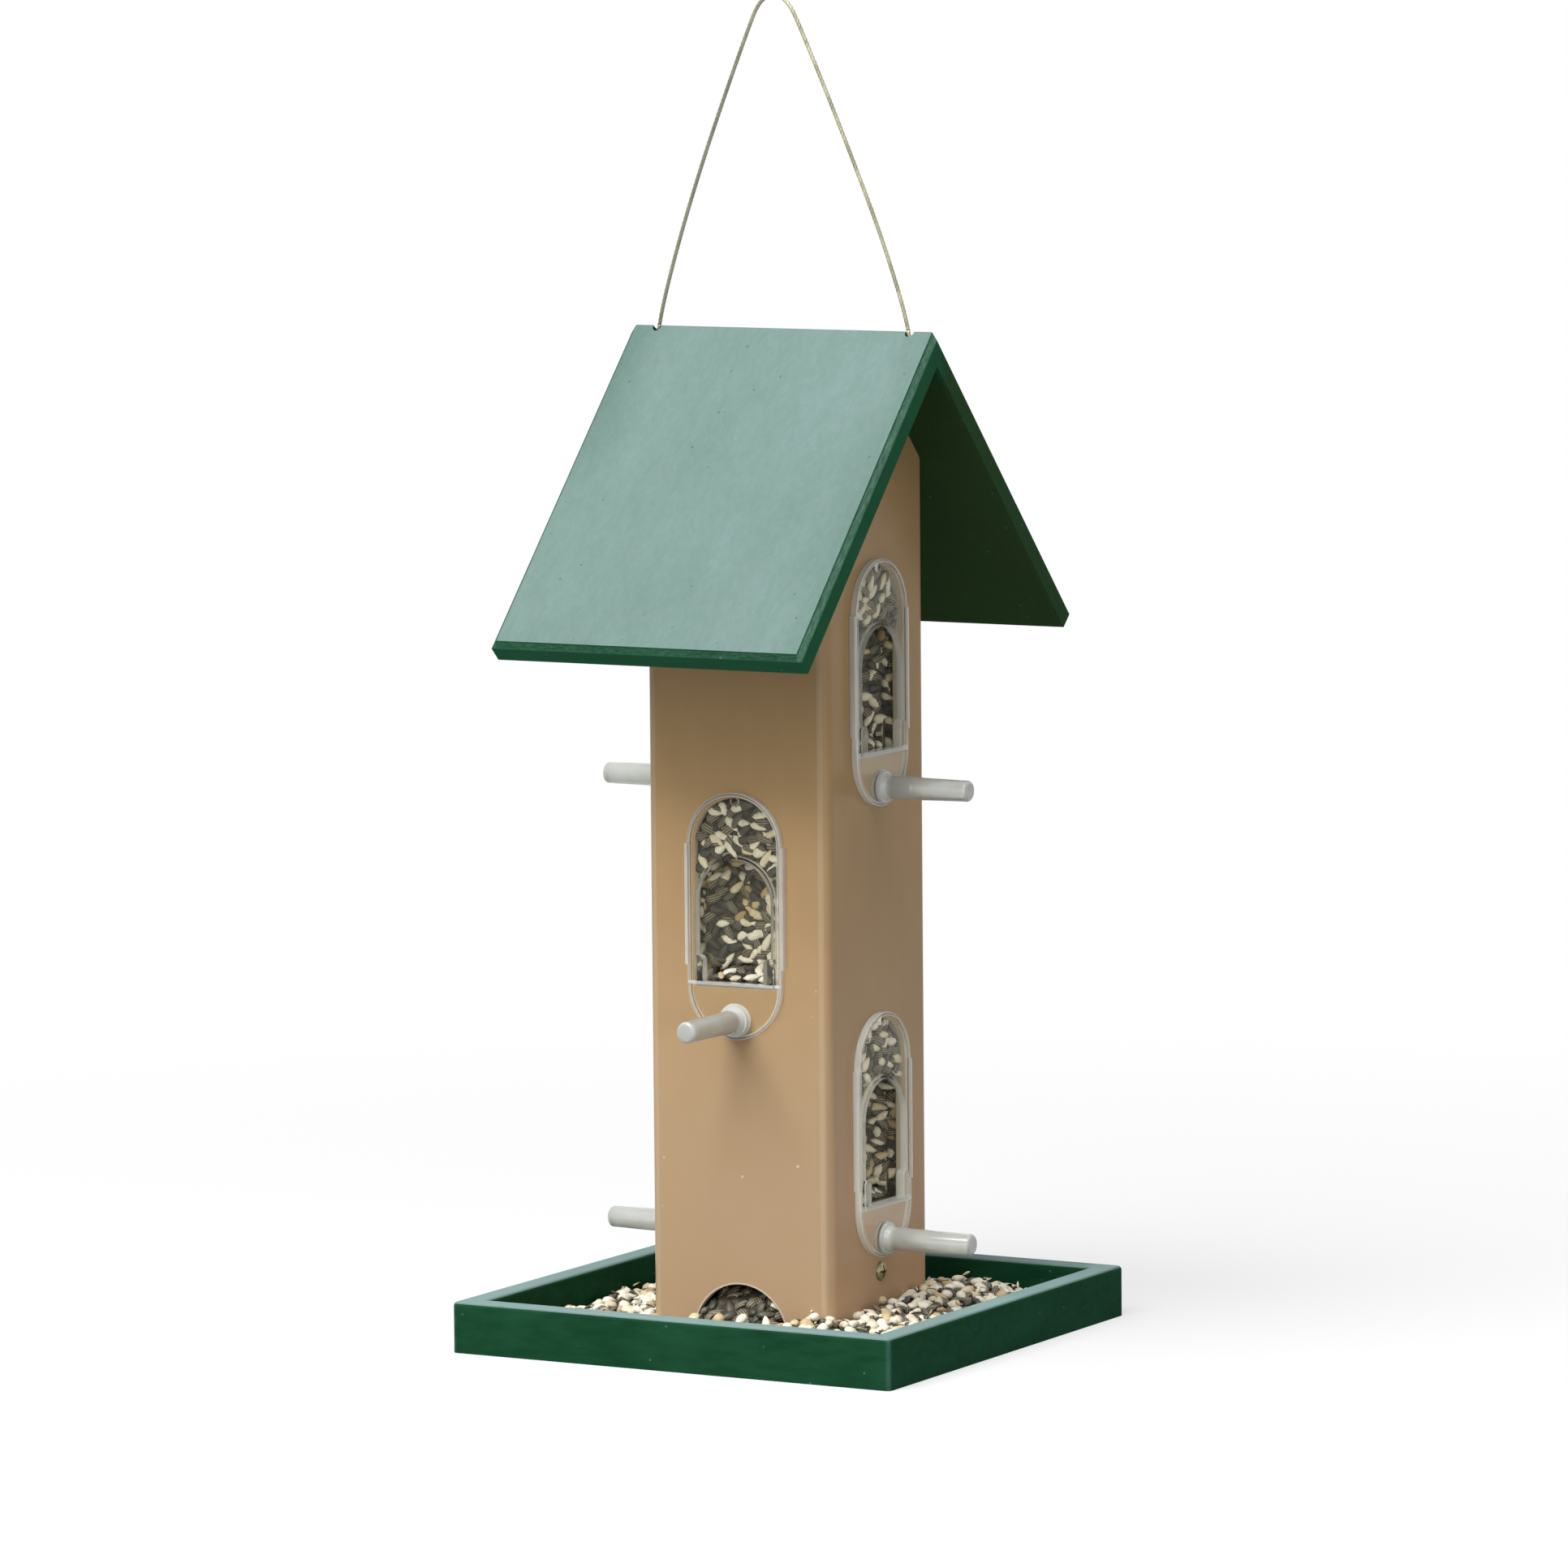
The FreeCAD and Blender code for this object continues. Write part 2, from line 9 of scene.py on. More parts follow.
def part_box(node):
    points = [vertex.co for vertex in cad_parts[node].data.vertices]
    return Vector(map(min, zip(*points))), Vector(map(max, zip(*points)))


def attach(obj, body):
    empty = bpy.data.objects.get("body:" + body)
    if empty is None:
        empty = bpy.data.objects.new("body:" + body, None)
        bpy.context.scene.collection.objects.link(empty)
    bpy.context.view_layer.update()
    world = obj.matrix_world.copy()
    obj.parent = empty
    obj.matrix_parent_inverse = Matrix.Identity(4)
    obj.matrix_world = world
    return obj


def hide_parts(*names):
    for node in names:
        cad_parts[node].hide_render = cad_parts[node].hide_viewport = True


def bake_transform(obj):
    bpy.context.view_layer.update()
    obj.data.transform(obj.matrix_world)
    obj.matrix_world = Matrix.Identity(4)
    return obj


# Looks of the silo bird feeder. Metres, +Z up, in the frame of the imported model.
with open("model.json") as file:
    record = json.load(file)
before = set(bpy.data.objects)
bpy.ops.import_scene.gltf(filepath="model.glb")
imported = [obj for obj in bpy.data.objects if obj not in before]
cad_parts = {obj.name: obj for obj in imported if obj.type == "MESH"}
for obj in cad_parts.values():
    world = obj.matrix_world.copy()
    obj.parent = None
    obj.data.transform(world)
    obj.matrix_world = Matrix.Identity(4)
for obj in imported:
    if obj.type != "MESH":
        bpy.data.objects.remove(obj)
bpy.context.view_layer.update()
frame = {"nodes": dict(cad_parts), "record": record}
nodes = frame["nodes"]
MM = 0.001

# The photograph's camera
VIEW_AZIMUTH = 29.32
VIEW_ELEVATION = 6.28
VIEW_ROLL = -0.49
VIEW_DISTANCE = 4.5357
VIEW_TARGET_HEIGHT = 0.280
VIEW_SLIDE_RIGHT = -0.00135
VIEW_SLIDE_UP = -0.00509
VIEW_REACH = 100.0
LENS = 210.93
SENSOR = 36.0

# The cable's route in the plane of the ridge, as (x, height above the ridge) in millimetres
CABLE_ROUTE = [
    (-37.4, -45.0),
    (-57.5, -45.0),
    (-66.5, -38.8),
    (-70.6, -28.5),
    (-71.6, -15.0),
    (-70.0, 3.0),
    (-58.8, 41.0),
    (-45.0, 80.0),
    (-31.4, 114.4),
    (-19.2, 143.9),
    (-11.9, 160.3),
    (-3.6, 163.7),
    (4.8, 160.3),
    (12.7, 144.1),
    (26.0, 115.0),
    (40.9, 81.0),
    (56.8, 43.0),
    (70.3, 3.0),
    (71.8, -15.0),
    (70.6, -28.5),
    (66.5, -38.8),
    (57.5, -45.0),
    (37.4, -45.0),
]
CABLE_RADIUS = 1.0 * MM
CABLE_STRANDS = 6
CABLE_POINTS_PER_STRAND = 4
CABLE_STRAND_DEPTH = 0.09
CABLE_LAY = 15.0 * MM
CABLE_RING_STEP = 0.8 * MM
CABLE_SPLINE_STEPS = 24

# The roof's boards
ROOF_PITCH = math.radians(46.5)
ROOF_SLOPE = 203.2 * MM
ROOF_THICK = 11.5 * MM
ROOF_CHAMFER = 2.8 * MM

# The port, measured from its lower end and from the tower's face
PORT_RADIUS = 26.25 * MM
PORT_HEIGHT = 122.0 * MM
PORT_EDGE = 1.8 * MM
PORT_SPRING = PORT_HEIGHT - PORT_RADIUS
ALCOVE_RADIUS = 22.6 * MM
ALCOVE_SPRING = 68.0 * MM
ALCOVE_BACK_RADIUS = 35.92 * MM
ALCOVE_BACK_AXIS = 21.92 * MM
CUTOUT_RADIUS = 23.25 * MM
LEDGE = 28.0 * MM
PLATE_FADE = 2.2 * MM
PERCH_RISE = 9.5 * MM
PERCH_COLLAR = 7.8 * MM
COLLAR_FADE = (7.0 * MM, 11.0 * MM)
SLOT_HEIGHT = 9.0 * MM
SLOT_HALF = 17.0 * MM
ARCH_RADIUS = 26.0 * MM
TOWER_WALL = 3.4 * MM
RIM_THICK = 12.7 * MM

# How each port stands: its turn round the tower from the front, in degrees
PORTS = {
    "front": 0,
    "rear": 180,
    "right_upper": 90,
    "right_lower": 90,
    "left_upper": -90,
    "left_lower": -90,
}

# Ports in the gable walls, square to X, and in the other two: how milky their rim and the plate under
# their ledge are, and how deep the milky strip along the ledge is. The gable walls' ports are milkier:
# painted light
PORT_MILK_AND_PAINTED_LIGHT = {"X": (0.42, 0.14, 2.2 * MM), "Y": (0.27, 0.03, 1.1 * MM)}

# Sizes read from the frame
roof_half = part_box("roof_panel_front")[1].x
ridge_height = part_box("roof_panel_front")[1].z
half_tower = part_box("tower_tube")[1].x
tray_floor_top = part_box("tray_floor")[1].z
tray_half = -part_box("tray_rim_front")[0].y
tray_inside = -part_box("tray_rim_front")[0].x - RIM_THICK

# Seeds, as length, width and thickness
SEEDS = {
    "dark_seed": (11.5 * MM, 5.6 * MM, 4.0 * MM),
    "pale_seed": (11.2 * MM, 4.9 * MM, 3.7 * MM),
    "plump_seed": (9.6 * MM, 6.2 * MM, 5.2 * MM),
    "husk": (7.0 * MM, 3.2 * MM, 1.2 * MM),
    "splinter": (5.2 * MM, 1.5 * MM, 1.0 * MM),
}
SEED_SIDES = 8
SEED_RINGS = 5
SEED_BLUNTNESS = 0.8
SEED_FULLNESS = 0.75
SEED_GIRTH = 1.08
SEED_TAPER = 0.3

# How seeds vary where they are strewn, and how much lower the dark kind lies than the pale kind
SEED_CROWDING = 1.6
SEED_LIFTS = (0.3, 1.7)
SEED_SIZES = ((0.72, 0.78, 0.80), (1.12, 1.12, 1.10))
CLUSTER_SCALE = 75.0
CLUSTER_FADE = (0.38, 0.56)
DARK_LIFT = 0.6
GROUND_THICK = 0.4 * MM
GROUND_WELD = 0.01 * MM

# What each bed is strewn with: its dark and pale kind, their spacing and lift in millimetres, how far
# the pale kind keeps to clusters, how far seeds tilt and spin in radians, and the random seed
STREWING = {
    "port_seeds": {
        "kinds": ("dark_seed", "pale_seed"), "spacing": (4.6, 4.4), "lift": 0.9,
        "clusters": 0.62, "tilt": 0.14, "spin": 1.1, "random": 3},
    "tray_seeds": {
        "kinds": ("dark_seed", "plump_seed"), "spacing": (5.2, 4.8), "lift": 1.6,
        "clusters": 0.35, "tilt": 0.45, "spin": math.pi, "random": 5},
    "tray_chaff": {
        "kinds": ("husk", "splinter"), "spacing": (9.0, 8.0), "lift": 4.2,
        "clusters": 0.60, "tilt": 0.70, "spin": math.pi, "random": 7},
    "arch_seeds": {
        "kinds": ("dark_seed", "plump_seed"), "spacing": (4.4, 4.8), "lift": 1.4,
        "clusters": 0.50, "tilt": 0.35, "spin": math.pi, "random": 6},
    "hopper_seeds": {
        "kinds": ("dark_seed", "pale_seed"), "spacing": (4.8, 6.5), "lift": 1.4,
        "clusters": 0.60, "tilt": 0.40, "spin": math.pi, "random": 8},
}

# Shares of pale seed behind each port's pane, low behind its alcove and elsewhere behind it
PALE_SHARES = {
    "front": (1.6, 1.5, 0.6),
    "rear": (0.8, 1.5, 0.6),
    "right_upper": (0.5, 0.8, 0.4),
    "right_lower": (0.8, 2.4, 0.8),
    "left_upper": (0.8, 1.5, 0.6),
    "left_lower": (0.8, 1.5, 0.6),
}

# The ground of seed behind a port
PANE_BED_DEPTH = 2.2 * MM
PANE_BED_GAP = 2.2 * MM
PANE_BED_END = 0.01
PANE_BED_STEPS = 24
PANE_BED_POINTS = 10
PANE_BED_LEAST = 0.2 * MM
CUTOUT_GAP = 1.9 * MM
ALCOVE_GAP = 4.0 * MM
SKIRT_DEPTHS = (18.0 * MM, 11.0 * MM, 5.5 * MM)
SKIRT_DROP = 2.0 * MM
SKIRT_STEPS = 20
SKIRT_SIDE_POINTS = 8
SKIRT_PALE_SHARE = 1.7
BACK_BED_DROP = 3.0 * MM
BACK_BED_RISE = 4.0 * MM
BACK_BED_POINTS = (16, 20)
BACK_BED_PALE_FROM = -6.0 * MM
SLOT_BED_DEPTH = 17.5 * MM
SLOT_BED_RUN = 10.5 * MM
SLOT_BED_GAP = 0.4 * MM
SLOT_BED_TOP_GAP = 2.5 * MM
SLOT_BED_CURVE = 1.4
SLOT_BED_POINTS = (14, 7)

# The heap in the tray, with its depths in millimetres
HEAP_TICKS = 56
HEAP_SIDE_GAP = 2.0 * MM
HEAP_TOWER_GAP = 1.0 * MM
HEAP_SHALLOW = 3.4
HEAP_RISE = 7.6
HEAP_REACH = 32.0 * MM
HEAP_CORNER = 0.62
HEAP_CORNER_RUN = 0.38
HEAP_CORNER_LOSS = 0.9
HEAP_LUMP = 1.6
HEAP_LUMP_SCALE = 55
HEAP_LEAST = 0.15
HEAP_STRAY_COVER = 0.08
HEAP_COVERED = 3.5
HEAP_BARE = 1.2

# Spills on the heap: x, y, radius, and depth in millimetres
SPILLS = [
    (44.0 * MM, -61.0 * MM, 15.0 * MM, 6.0),
    (70.0 * MM, 62.0 * MM, 26.0 * MM, 4.5),
]

# The seed that runs out of an arch
ARCH_BED_START = -14.0 * MM
ARCH_BED_RUN = 22.0 * MM
ARCH_BED_TOP = 24.0 * MM
ARCH_BED_FALL = 17.5 * MM
ARCH_BED_HALF = 21.5 * MM
ARCH_BED_GAP = 2.8 * MM
ARCH_BED_POINTS = (18, 12)
ARCH_PALE_FROM = 0.86
ARCH_PALE_SHARES = (0.03, 0.9)

# The top of the seed in the tower
HOPPER_FILL = 404.0 * MM
HOPPER_GAP = 6.5 * MM
HOPPER_MOUND = 9.0 * MM
HOPPER_LUMP = 1.5 * MM
HOPPER_LUMP_SCALE = 60
HOPPER_TICKS = 16

# Where the green board changes: inwards from an edge for the painted light on its rim, the painted shade
# at its sides and the painted highlight at its corner, towards the rear for where the rim's painted light
# runs and the painted shade starts, and down from the ridge for its shade
RIM_LIGHT_INSET = (16.0 * MM, 13.0 * MM)
RIM_LIGHT_ALONG = (-80.0 * MM, 20.0 * MM)
SHADED_RIGHT = (26.0 * MM, 2.0 * MM)
SHADED_LEFT = (31.0 * MM, 2.0 * MM)
SHADED_DOWN = (0.25 * ROOF_SLOPE, 0.65 * ROOF_SLOPE)
PAINTED_SHADE_FROM = (2.0 * MM, 12.0 * MM)
CORNER_HIGHLIGHT_INSET = (3.0 * MM, 0.4 * MM)

# Heights over which the tan tower's painted bounce light at the foot and on the gable walls and its flecks
# fade out, the painted highlight band in from its corners, and how far in from the wall's two faces a cut
# edge starts
FOOT_BOUNCE_UP_TO = (60.0 * MM, 260.0 * MM)
GABLE_BOUNCE_UP_TO = (40.0 * MM, 200.0 * MM)
FLECKED_UP_TO = (120.0 * MM, 220.0 * MM)
CORNER_HIGHLIGHT_BAND = (5.0 * MM, 3.2 * MM)
CUT_FACE = 0.3 * MM

# The cross recess and the rim of a round screw head
RECESS_HALF_WIDTH = (0.45 * MM, 0.75 * MM)
RECESS_REACH = (2.6 * MM, 3.0 * MM)
HEAD_RIM = (3.9 * MM, 4.7 * MM)

# Colours
GREEN_DEEP = (0.007, 0.047, 0.019, 1)
GREEN_FRESH = (0.016, 0.086, 0.041, 1)
GREEN_BLEACH_AND_SHEEN = (0.160, 0.240, 0.220, 1)
GREEN_CHALK_AND_SHEEN = (0.192, 0.275, 0.257, 1)
GREEN_LEVEL_BLEACH_AND_SHEEN = (0.235, 0.345, 0.335, 1)
GREEN_RIM_PAINTED_LIGHT = (0.285, 0.430, 0.415, 1)
GREEN_WORN = (0.210, 0.330, 0.280, 1)
GREEN_CORNER_HIGHLIGHT = (0.090, 0.220, 0.165, 1)
GREEN_END_PAINTED_LIGHT = (0.022, 0.125, 0.058, 1)
GREEN_PAINTED_SHADE = (0.034, 0.066, 0.020, 1)
TAN_DEEP = (0.490, 0.318, 0.152, 1)
TAN_PALE = (0.545, 0.357, 0.178, 1)
TAN_CORNER_HIGHLIGHT = (0.62, 0.48, 0.32, 1)
TAN_FOOT_BOUNCE = (0.515, 0.357, 0.218, 1)
TAN_GABLE_BOUNCE = (0.640, 0.410, 0.245, 1)
TAN_FLECK = (0.80, 0.68, 0.50, 1)
TAN_CUT = (0.66, 0.56, 0.46, 1)
TAN_SAWN = (0.66, 0.64, 0.54, 1)
CLEAR_TINT = (0.99, 0.98, 0.90, 1)
CLEAR_SHADOW = (0.97, 0.97, 0.955, 1)
MILKY_TINT = (0.95, 0.955, 0.90, 1)
FROST_DIM = (0.70, 0.72, 0.68, 1)
FROST_BRIGHT = (0.79, 0.81, 0.765, 1)
FROST_COLLAR = (0.86, 0.87, 0.85, 1)
ZINC_DULL = (0.25, 0.24, 0.10, 1)
ZINC_BRIGHT = (0.42, 0.40, 0.22, 1)
ZINC_SHADED = (0.035, 0.035, 0.015, 1)
CABLE_DULL = (0.24, 0.235, 0.14, 1)
CABLE_BRIGHT = (0.43, 0.42, 0.27, 1)
CABLE_DARK_LEFT = (0.13, 0.125, 0.10, 1)
FERRULE_DULL = (0.55, 0.56, 0.57, 1)
FERRULE_BRIGHT = (0.78, 0.79, 0.80, 1)
BED_SHADE = (0.022, 0.020, 0.013, 1)
BED_DUST = (0.110, 0.096, 0.062, 1)
HUSK_BLACK = (0.028, 0.026, 0.019, 1)
HUSK_BROWN = (0.080, 0.067, 0.040, 1)
HUSK_STRIPE = (0.42, 0.385, 0.270, 1)
KERNEL_MOTTLE = (0.50, 0.36, 0.18, 1)
KERNEL_TONES = [
    (0.0, (0.96, 0.92, 0.80, 1)),
    (0.65, (0.93, 0.86, 0.67, 1)),
    (0.90, (0.70, 0.55, 0.32, 1)),
    (1.0, (0.46, 0.31, 0.15, 1)),
]

# The studio: its floor, its white surroundings, and lamps as place, width, height and power
FLOOR_HALF = 40.0
FLOOR_UNSEEN = (0.28, 0.28, 0.28, 1)
FLOOR_SEEN = (0.86, 0.86, 0.86, 1)
FLOOR_GLOW = 0.62
FLOOR_FADE = (0.25, 1.2)
WHITE = (1, 1, 1, 1)
SKY_LEAST = 0.02
SKY_OVERHEAD = 0.44
LAMP_AIM = (0, 0, 0.25)
LAMPS = {
    "key": ((-0.40, -1.55, 2.75), 2.0, 2.0, 102),
    "front": ((-0.10, -2.40, 1.50), 2.0, 2.0, 20),
    "side": ((1.60, -0.20, 2.40), 1.6, 1.6, 7),
    "low": ((1.80, -1.20, 0.15), 1.6, 0.5, 6.5),
}


class Value:
    """A node's socket that takes part in plain arithmetic."""

    def __init__(self, graph, socket):
        self.graph = graph
        self.socket = socket

    def __add__(self, other):
        return self.graph.math("ADD", self, other)

    def __sub__(self, other):
        return self.graph.math("SUBTRACT", self, other)

    def __rsub__(self, other):
        return self.graph.math("SUBTRACT", other, self)

    def __mul__(self, other):
        return self.graph.math("MULTIPLY", self, other)

    def __rtruediv__(self, other):
        return self.graph.math("DIVIDE", other, self)

    def __pow__(self, other):
        return self.graph.math("POWER", self, other)

    __radd__ = __add__
    __rmul__ = __mul__


class Graph:
    """Builds a node tree: one method for any node, and short forms for the common ones."""

    def __init__(self, tree):
        self.tree = tree

    def node(self, kind, settings=None, sockets=None):
        """Adds any node: its settings first, then what its sockets hold or are linked to."""
        made = self.tree.nodes.new(kind)
        for name, value in (settings or {}).items():
            if name == "stops":
                self.set_stops(made.color_ramp, value)
            else:
                setattr(made, name, value)
        for name, value in (sockets or {}).items():
            self.feed(made.inputs[name], value)
        return made

    def feed(self, socket, value):
        """Links a value to a socket, or sets the socket to a constant."""
        if isinstance(value, Value):
            self.tree.links.new(value.socket, socket)
        else:
            socket.default_value = value

    def out(self, kind, settings=None, sockets=None, name=0):
        """Adds a node and takes one of its outputs."""
        return Value(self, self.node(kind, settings, sockets).outputs[name])

    def parts(self, vector):
        """The X, Y and Z of a vector."""
        split = self.node("ShaderNodeSeparateXYZ", None, {0: vector})
        return [Value(self, socket) for socket in split.outputs]

    def math(self, operation, *values):
        return self.out("ShaderNodeMath", {"operation": operation}, dict(enumerate(values)))

    def most(self, first, *others):
        """The largest of some values."""
        for other in others:
            first = self.math("MAXIMUM", first, other)
        return first

    def mix(self, factor, a, b):
        """A colour between two others."""
        return self.out("ShaderNodeMix", {"data_type": "RGBA"}, {0: factor, 6: a, 7: b}, 2)

    def smooth(self, value, low, high):
        """0 below low, 1 above high, smooth between."""
        settings = {"interpolation_type": "SMOOTHSTEP"}
        return self.out("ShaderNodeMapRange", settings, {"Value": value, "From Min": low, "From Max": high})

    @staticmethod
    def set_stops(ramp, stops):
        while len(ramp.elements) < len(stops):
            ramp.elements.new(1.0)
        for element, (place, colour) in zip(ramp.elements, stops):
            element.position = place
            element.color = colour


class Finish(Graph):
    """A material with a Principled shader, on the piece's own coordinates."""

    def __init__(self, name):
        self.material = bpy.data.materials.new(name)
        self.material.use_nodes = True
        super().__init__(self.material.node_tree)
        self.shader = self.tree.nodes["Principled BSDF"]
        self.body = Value(self, self.shader.outputs[0])
        self.place = self.out("ShaderNodeTexCoord", name="Object")
        self.x, self.y, self.z = self.parts(self.place)

    def set(self, **sockets):
        """Sets the shader's sockets by name, with _ for a space."""
        for name, value in sockets.items():
            self.feed(self.shader.inputs[name.replace("_", " ")], value)
        return self

    def blend(self, factor, first, second):
        """One shader mixed with another."""
        return self.out("ShaderNodeMixShader", None, {0: factor, 1: first, 2: second})

    def show(self, mixed):
        """Puts a mixed shader on the surface and returns the material."""
        self.feed(self.tree.nodes["Material Output"].inputs["Surface"], mixed)
        return self.material

    def noise(self, scale, detail=3.0, roughness=0.55, stretch=None, shift=(0, 0, 0), place=None):
        """Cloudy noise from 0 to 1. stretch scales the coordinates first."""
        place = place or self.place
        if stretch or any(shift):
            sockets = {"Vector": place, "Scale": stretch or (1, 1, 1), "Location": shift}
            place = self.out("ShaderNodeMapping", None, sockets)
        sockets = {"Vector": place, "Scale": scale, "Detail": detail, "Roughness": roughness}
        return self.out("ShaderNodeTexNoise", None, sockets)

    def spots(self, scale, radius, soft, shift=(0, 0, 0)):
        """Round spots, 1 inside, one in some of the cells of a grid."""
        place = self.out("ShaderNodeMapping", None, {"Vector": self.place, "Location": shift})
        near = self.out("ShaderNodeTexVoronoi", None, {"Vector": place, "Scale": scale}, "Distance")
        return 1 - self.smooth(near, radius, radius + soft)

    def band(self, value, low, high, soft):
        """1 between low and high, soft at both ends."""
        return self.smooth(value, low - soft, low) * (1 - self.smooth(value, high, high + soft))

    def size(self, value):
        """The value without its sign."""
        return self.math("ABSOLUTE", value)

    @staticmethod
    def reach(a, b):
        """The distance of a point from an axis, from its distances along two square directions."""
        return (a * a + b * b) ** 0.5

    def inset(self, value, side, depths):
        """0 further in from a side than the first depth, 1 further out than the second."""
        return self.smooth(value, side - depths[0], side - depths[1])

    def facing_up(self, low, high):
        """How far the surface faces the sky."""
        normal = self.parts(self.out("ShaderNodeNewGeometry", name="Normal"))
        return self.smooth(normal[2], low, high)

    def bump(self, height, strength, distance):
        """Raises the surface a little by a pattern's height."""
        sockets = {"Height": height, "Strength": strength, "Distance": distance}
        return self.set(Normal=self.out("ShaderNodeBump", None, sockets))


class GreenBoard(Finish):
    """Satin dark green board. Each step takes the colour so far and returns it changed."""

    def __init__(self):
        super().__init__("green_board")
        self.blotch = self.noise(26, detail=4.0)
        self.grain = self.noise(220, detail=4.0, stretch=(0.25, 1, 1))
        self.speck = self.noise(900, detail=2.0)
        self.drawn = self.noise(60, detail=5.0, roughness=0.65, stretch=(0.3, 0.3, 1))
        self.stroke = self.noise(360, detail=4.0, roughness=0.65, stretch=(1, 0.5, 0.5))
        dinged = self.smooth(self.noise(30, shift=(0.1, 0.6, 0)), 0.48, 0.54)
        self.ding = self.spots(80, 0.05, 0.03) * dinged

        # Depth under the roof's face, and distance down it from the ridge
        self.side = self.size(self.y)
        fall = ridge_height - self.z
        self.under = fall * math.cos(ROOF_PITCH) - self.side * math.sin(ROOF_PITCH)
        self.down = fall * math.sin(ROOF_PITCH) + self.side * math.cos(ROOF_PITCH)
        self.on_roof = self.smooth(self.z, 0.5 * ridge_height, 0.6 * ridge_height)
        self.at_rear = self.smooth(self.y, *PAINTED_SHADE_FROM)

    def fresh(self):
        """The colour of the board where nothing has changed it."""
        shade = self.smooth(self.blotch * 0.25 + self.drawn * 0.5 + self.grain * 0.25, 0.30, 0.70)
        return self.mix(shade, GREEN_DEEP, GREEN_FRESH)

    def bleach_and_sheen(self, colour):
        """Bleach and painted sheen where it faces the sky, most on the level rims, less along the roof's
        gable edges.
        """
        chalk = self.smooth(self.noise(5, roughness=0.5, shift=(0.3, 0.1, 0)), 0.3, 0.75)
        dust = self.smooth(self.noise(70, detail=5.0, roughness=0.7, stretch=(1, 0.4, 0.4)), 0.35, 0.75)
        flaky = self.smooth(self.stroke, 0.36, 0.66)
        sloping = self.mix(chalk * 0.35 + dust * 0.20 + flaky * 0.45, GREEN_BLEACH_AND_SHEEN, GREEN_CHALK_AND_SHEEN)
        # Painted light: the right rim is paler towards the rear
        rim_light = self.inset(self.x, tray_half, RIM_LIGHT_INSET) * self.smooth(self.y, *RIM_LIGHT_ALONG)
        level = self.mix(rim_light, GREEN_LEVEL_BLEACH_AND_SHEEN, GREEN_RIM_PAINTED_LIGHT)
        bleached_and_sheen = self.mix(self.facing_up(0.75, 0.95), sloping, level)
        # Painted shade near the roof's gable edges, on the left only towards the ridge
        right_edge = self.inset(self.x, roof_half, SHADED_RIGHT) * 0.13
        left_edge = self.inset(0 - self.x, roof_half, SHADED_LEFT) * 0.26
        left_edge = left_edge * (1 - self.smooth(self.down, *SHADED_DOWN))
        uneven = 0.88 + 0.08 * chalk + 0.07 * dust + 0.06 * (self.speck - 0.5)
        # Painted sheen together with real bleaching, where the surface faces up
        bloom_and_sheen = self.facing_up(0.52, 0.66) * uneven
        return self.mix(bloom_and_sheen * (1 - (right_edge + left_edge) * self.on_roof), colour, bleached_and_sheen)

    def rear_shade(self, colour):
        """Painted shade under the rear board, warmed as by light bounced from the tan tower."""
        beneath = self.smooth(self.under, ROOF_THICK - 0.6 * MM, ROOF_THICK - 0.2 * MM) * self.on_roof
        return self.mix(beneath * self.at_rear * 0.8, colour, GREEN_PAINTED_SHADE)

    def lit_ends_and_wear(self, colour):
        """The roof boards' sawn ends, with painted light, painted shade at the rear, and chamfers worn in
        streaks.
        """
        chamfer = (ROOF_CHAMFER, 0.7 * ROOF_CHAMFER)
        at_gable = self.inset(self.size(self.x), roof_half, chamfer)
        at_eave = self.inset(self.down, ROOF_SLOPE, chamfer)
        end = self.most(at_gable, at_eave) * self.band(self.under, 0.2 * MM, ROOF_THICK, 1.2 * MM)
        below = self.smooth(self.under, 0.75 * ROOF_CHAMFER, 1.1 * ROOF_CHAMFER)
        # Painted light on the sawn end faces, less of it at the rear
        lit_end = end * below * (0.5 + 0.5 * self.drawn) * (1 - 0.7 * self.at_rear)
        colour = self.mix(lit_end, colour, GREEN_END_PAINTED_LIGHT)
        # Painted shade on the rear board's end
        colour = self.mix(end * below * self.at_rear * 0.6, colour, GREEN_PAINTED_SHADE)
        sockets = {0: self.x * 0.2, 1: self.down * 0.10, 2: self.under}
        along_edge = self.out("ShaderNodeCombineXYZ", None, sockets)
        streak = self.smooth(self.noise(1700, detail=4.0, roughness=0.7, place=along_edge), 0.42, 0.64)
        worn = at_gable * (0.16 + 0.26 * streak) + (1 - at_gable) * (0.03 + 0.13 * streak)
        return self.mix(end * (1 - below) * worn, colour, GREEN_WORN)

    def mark(self, colour):
        """Dings, flecks, and a painted highlight on the tray's corners."""
        colour = self.mix(self.ding * 0.36, colour, GREEN_FRESH)
        fleck = self.spots(115, 0.045, 0.04, shift=(0.02, 0.05, 0.01))
        colour = self.mix(fleck * 0.3, colour, GREEN_LEVEL_BLEACH_AND_SHEEN)
        corner = self.math("MINIMUM", self.size(self.x), self.side)
        # Painted highlight down the tray's corners
        tray_corner_highlight = self.inset(corner, tray_half, CORNER_HIGHLIGHT_INSET) * self.smooth(self.grain, 0.2, 0.6)
        return self.mix(tray_corner_highlight * 0.5, colour, GREEN_CORNER_HIGHLIGHT)


def finish_green_board():
    """Green board, weathered by the sky and by use, with painted sheen, light, shade and highlights."""
    board = GreenBoard()
    colour = board.fresh()
    for step in (board.bleach_and_sheen, board.rear_shade, board.lit_ends_and_wear, board.mark):
        colour = step(colour)
    board.set(Base_Color=colour, Roughness=0.52 + 0.16 * board.blotch, IOR=1.5, Specular_IOR_Level=0.02)
    height = board.speck * 0.3 + board.grain * 0.3 + board.stroke * 0.6 - board.ding
    return board.bump(height, 0.3, 0.4 * MM).material


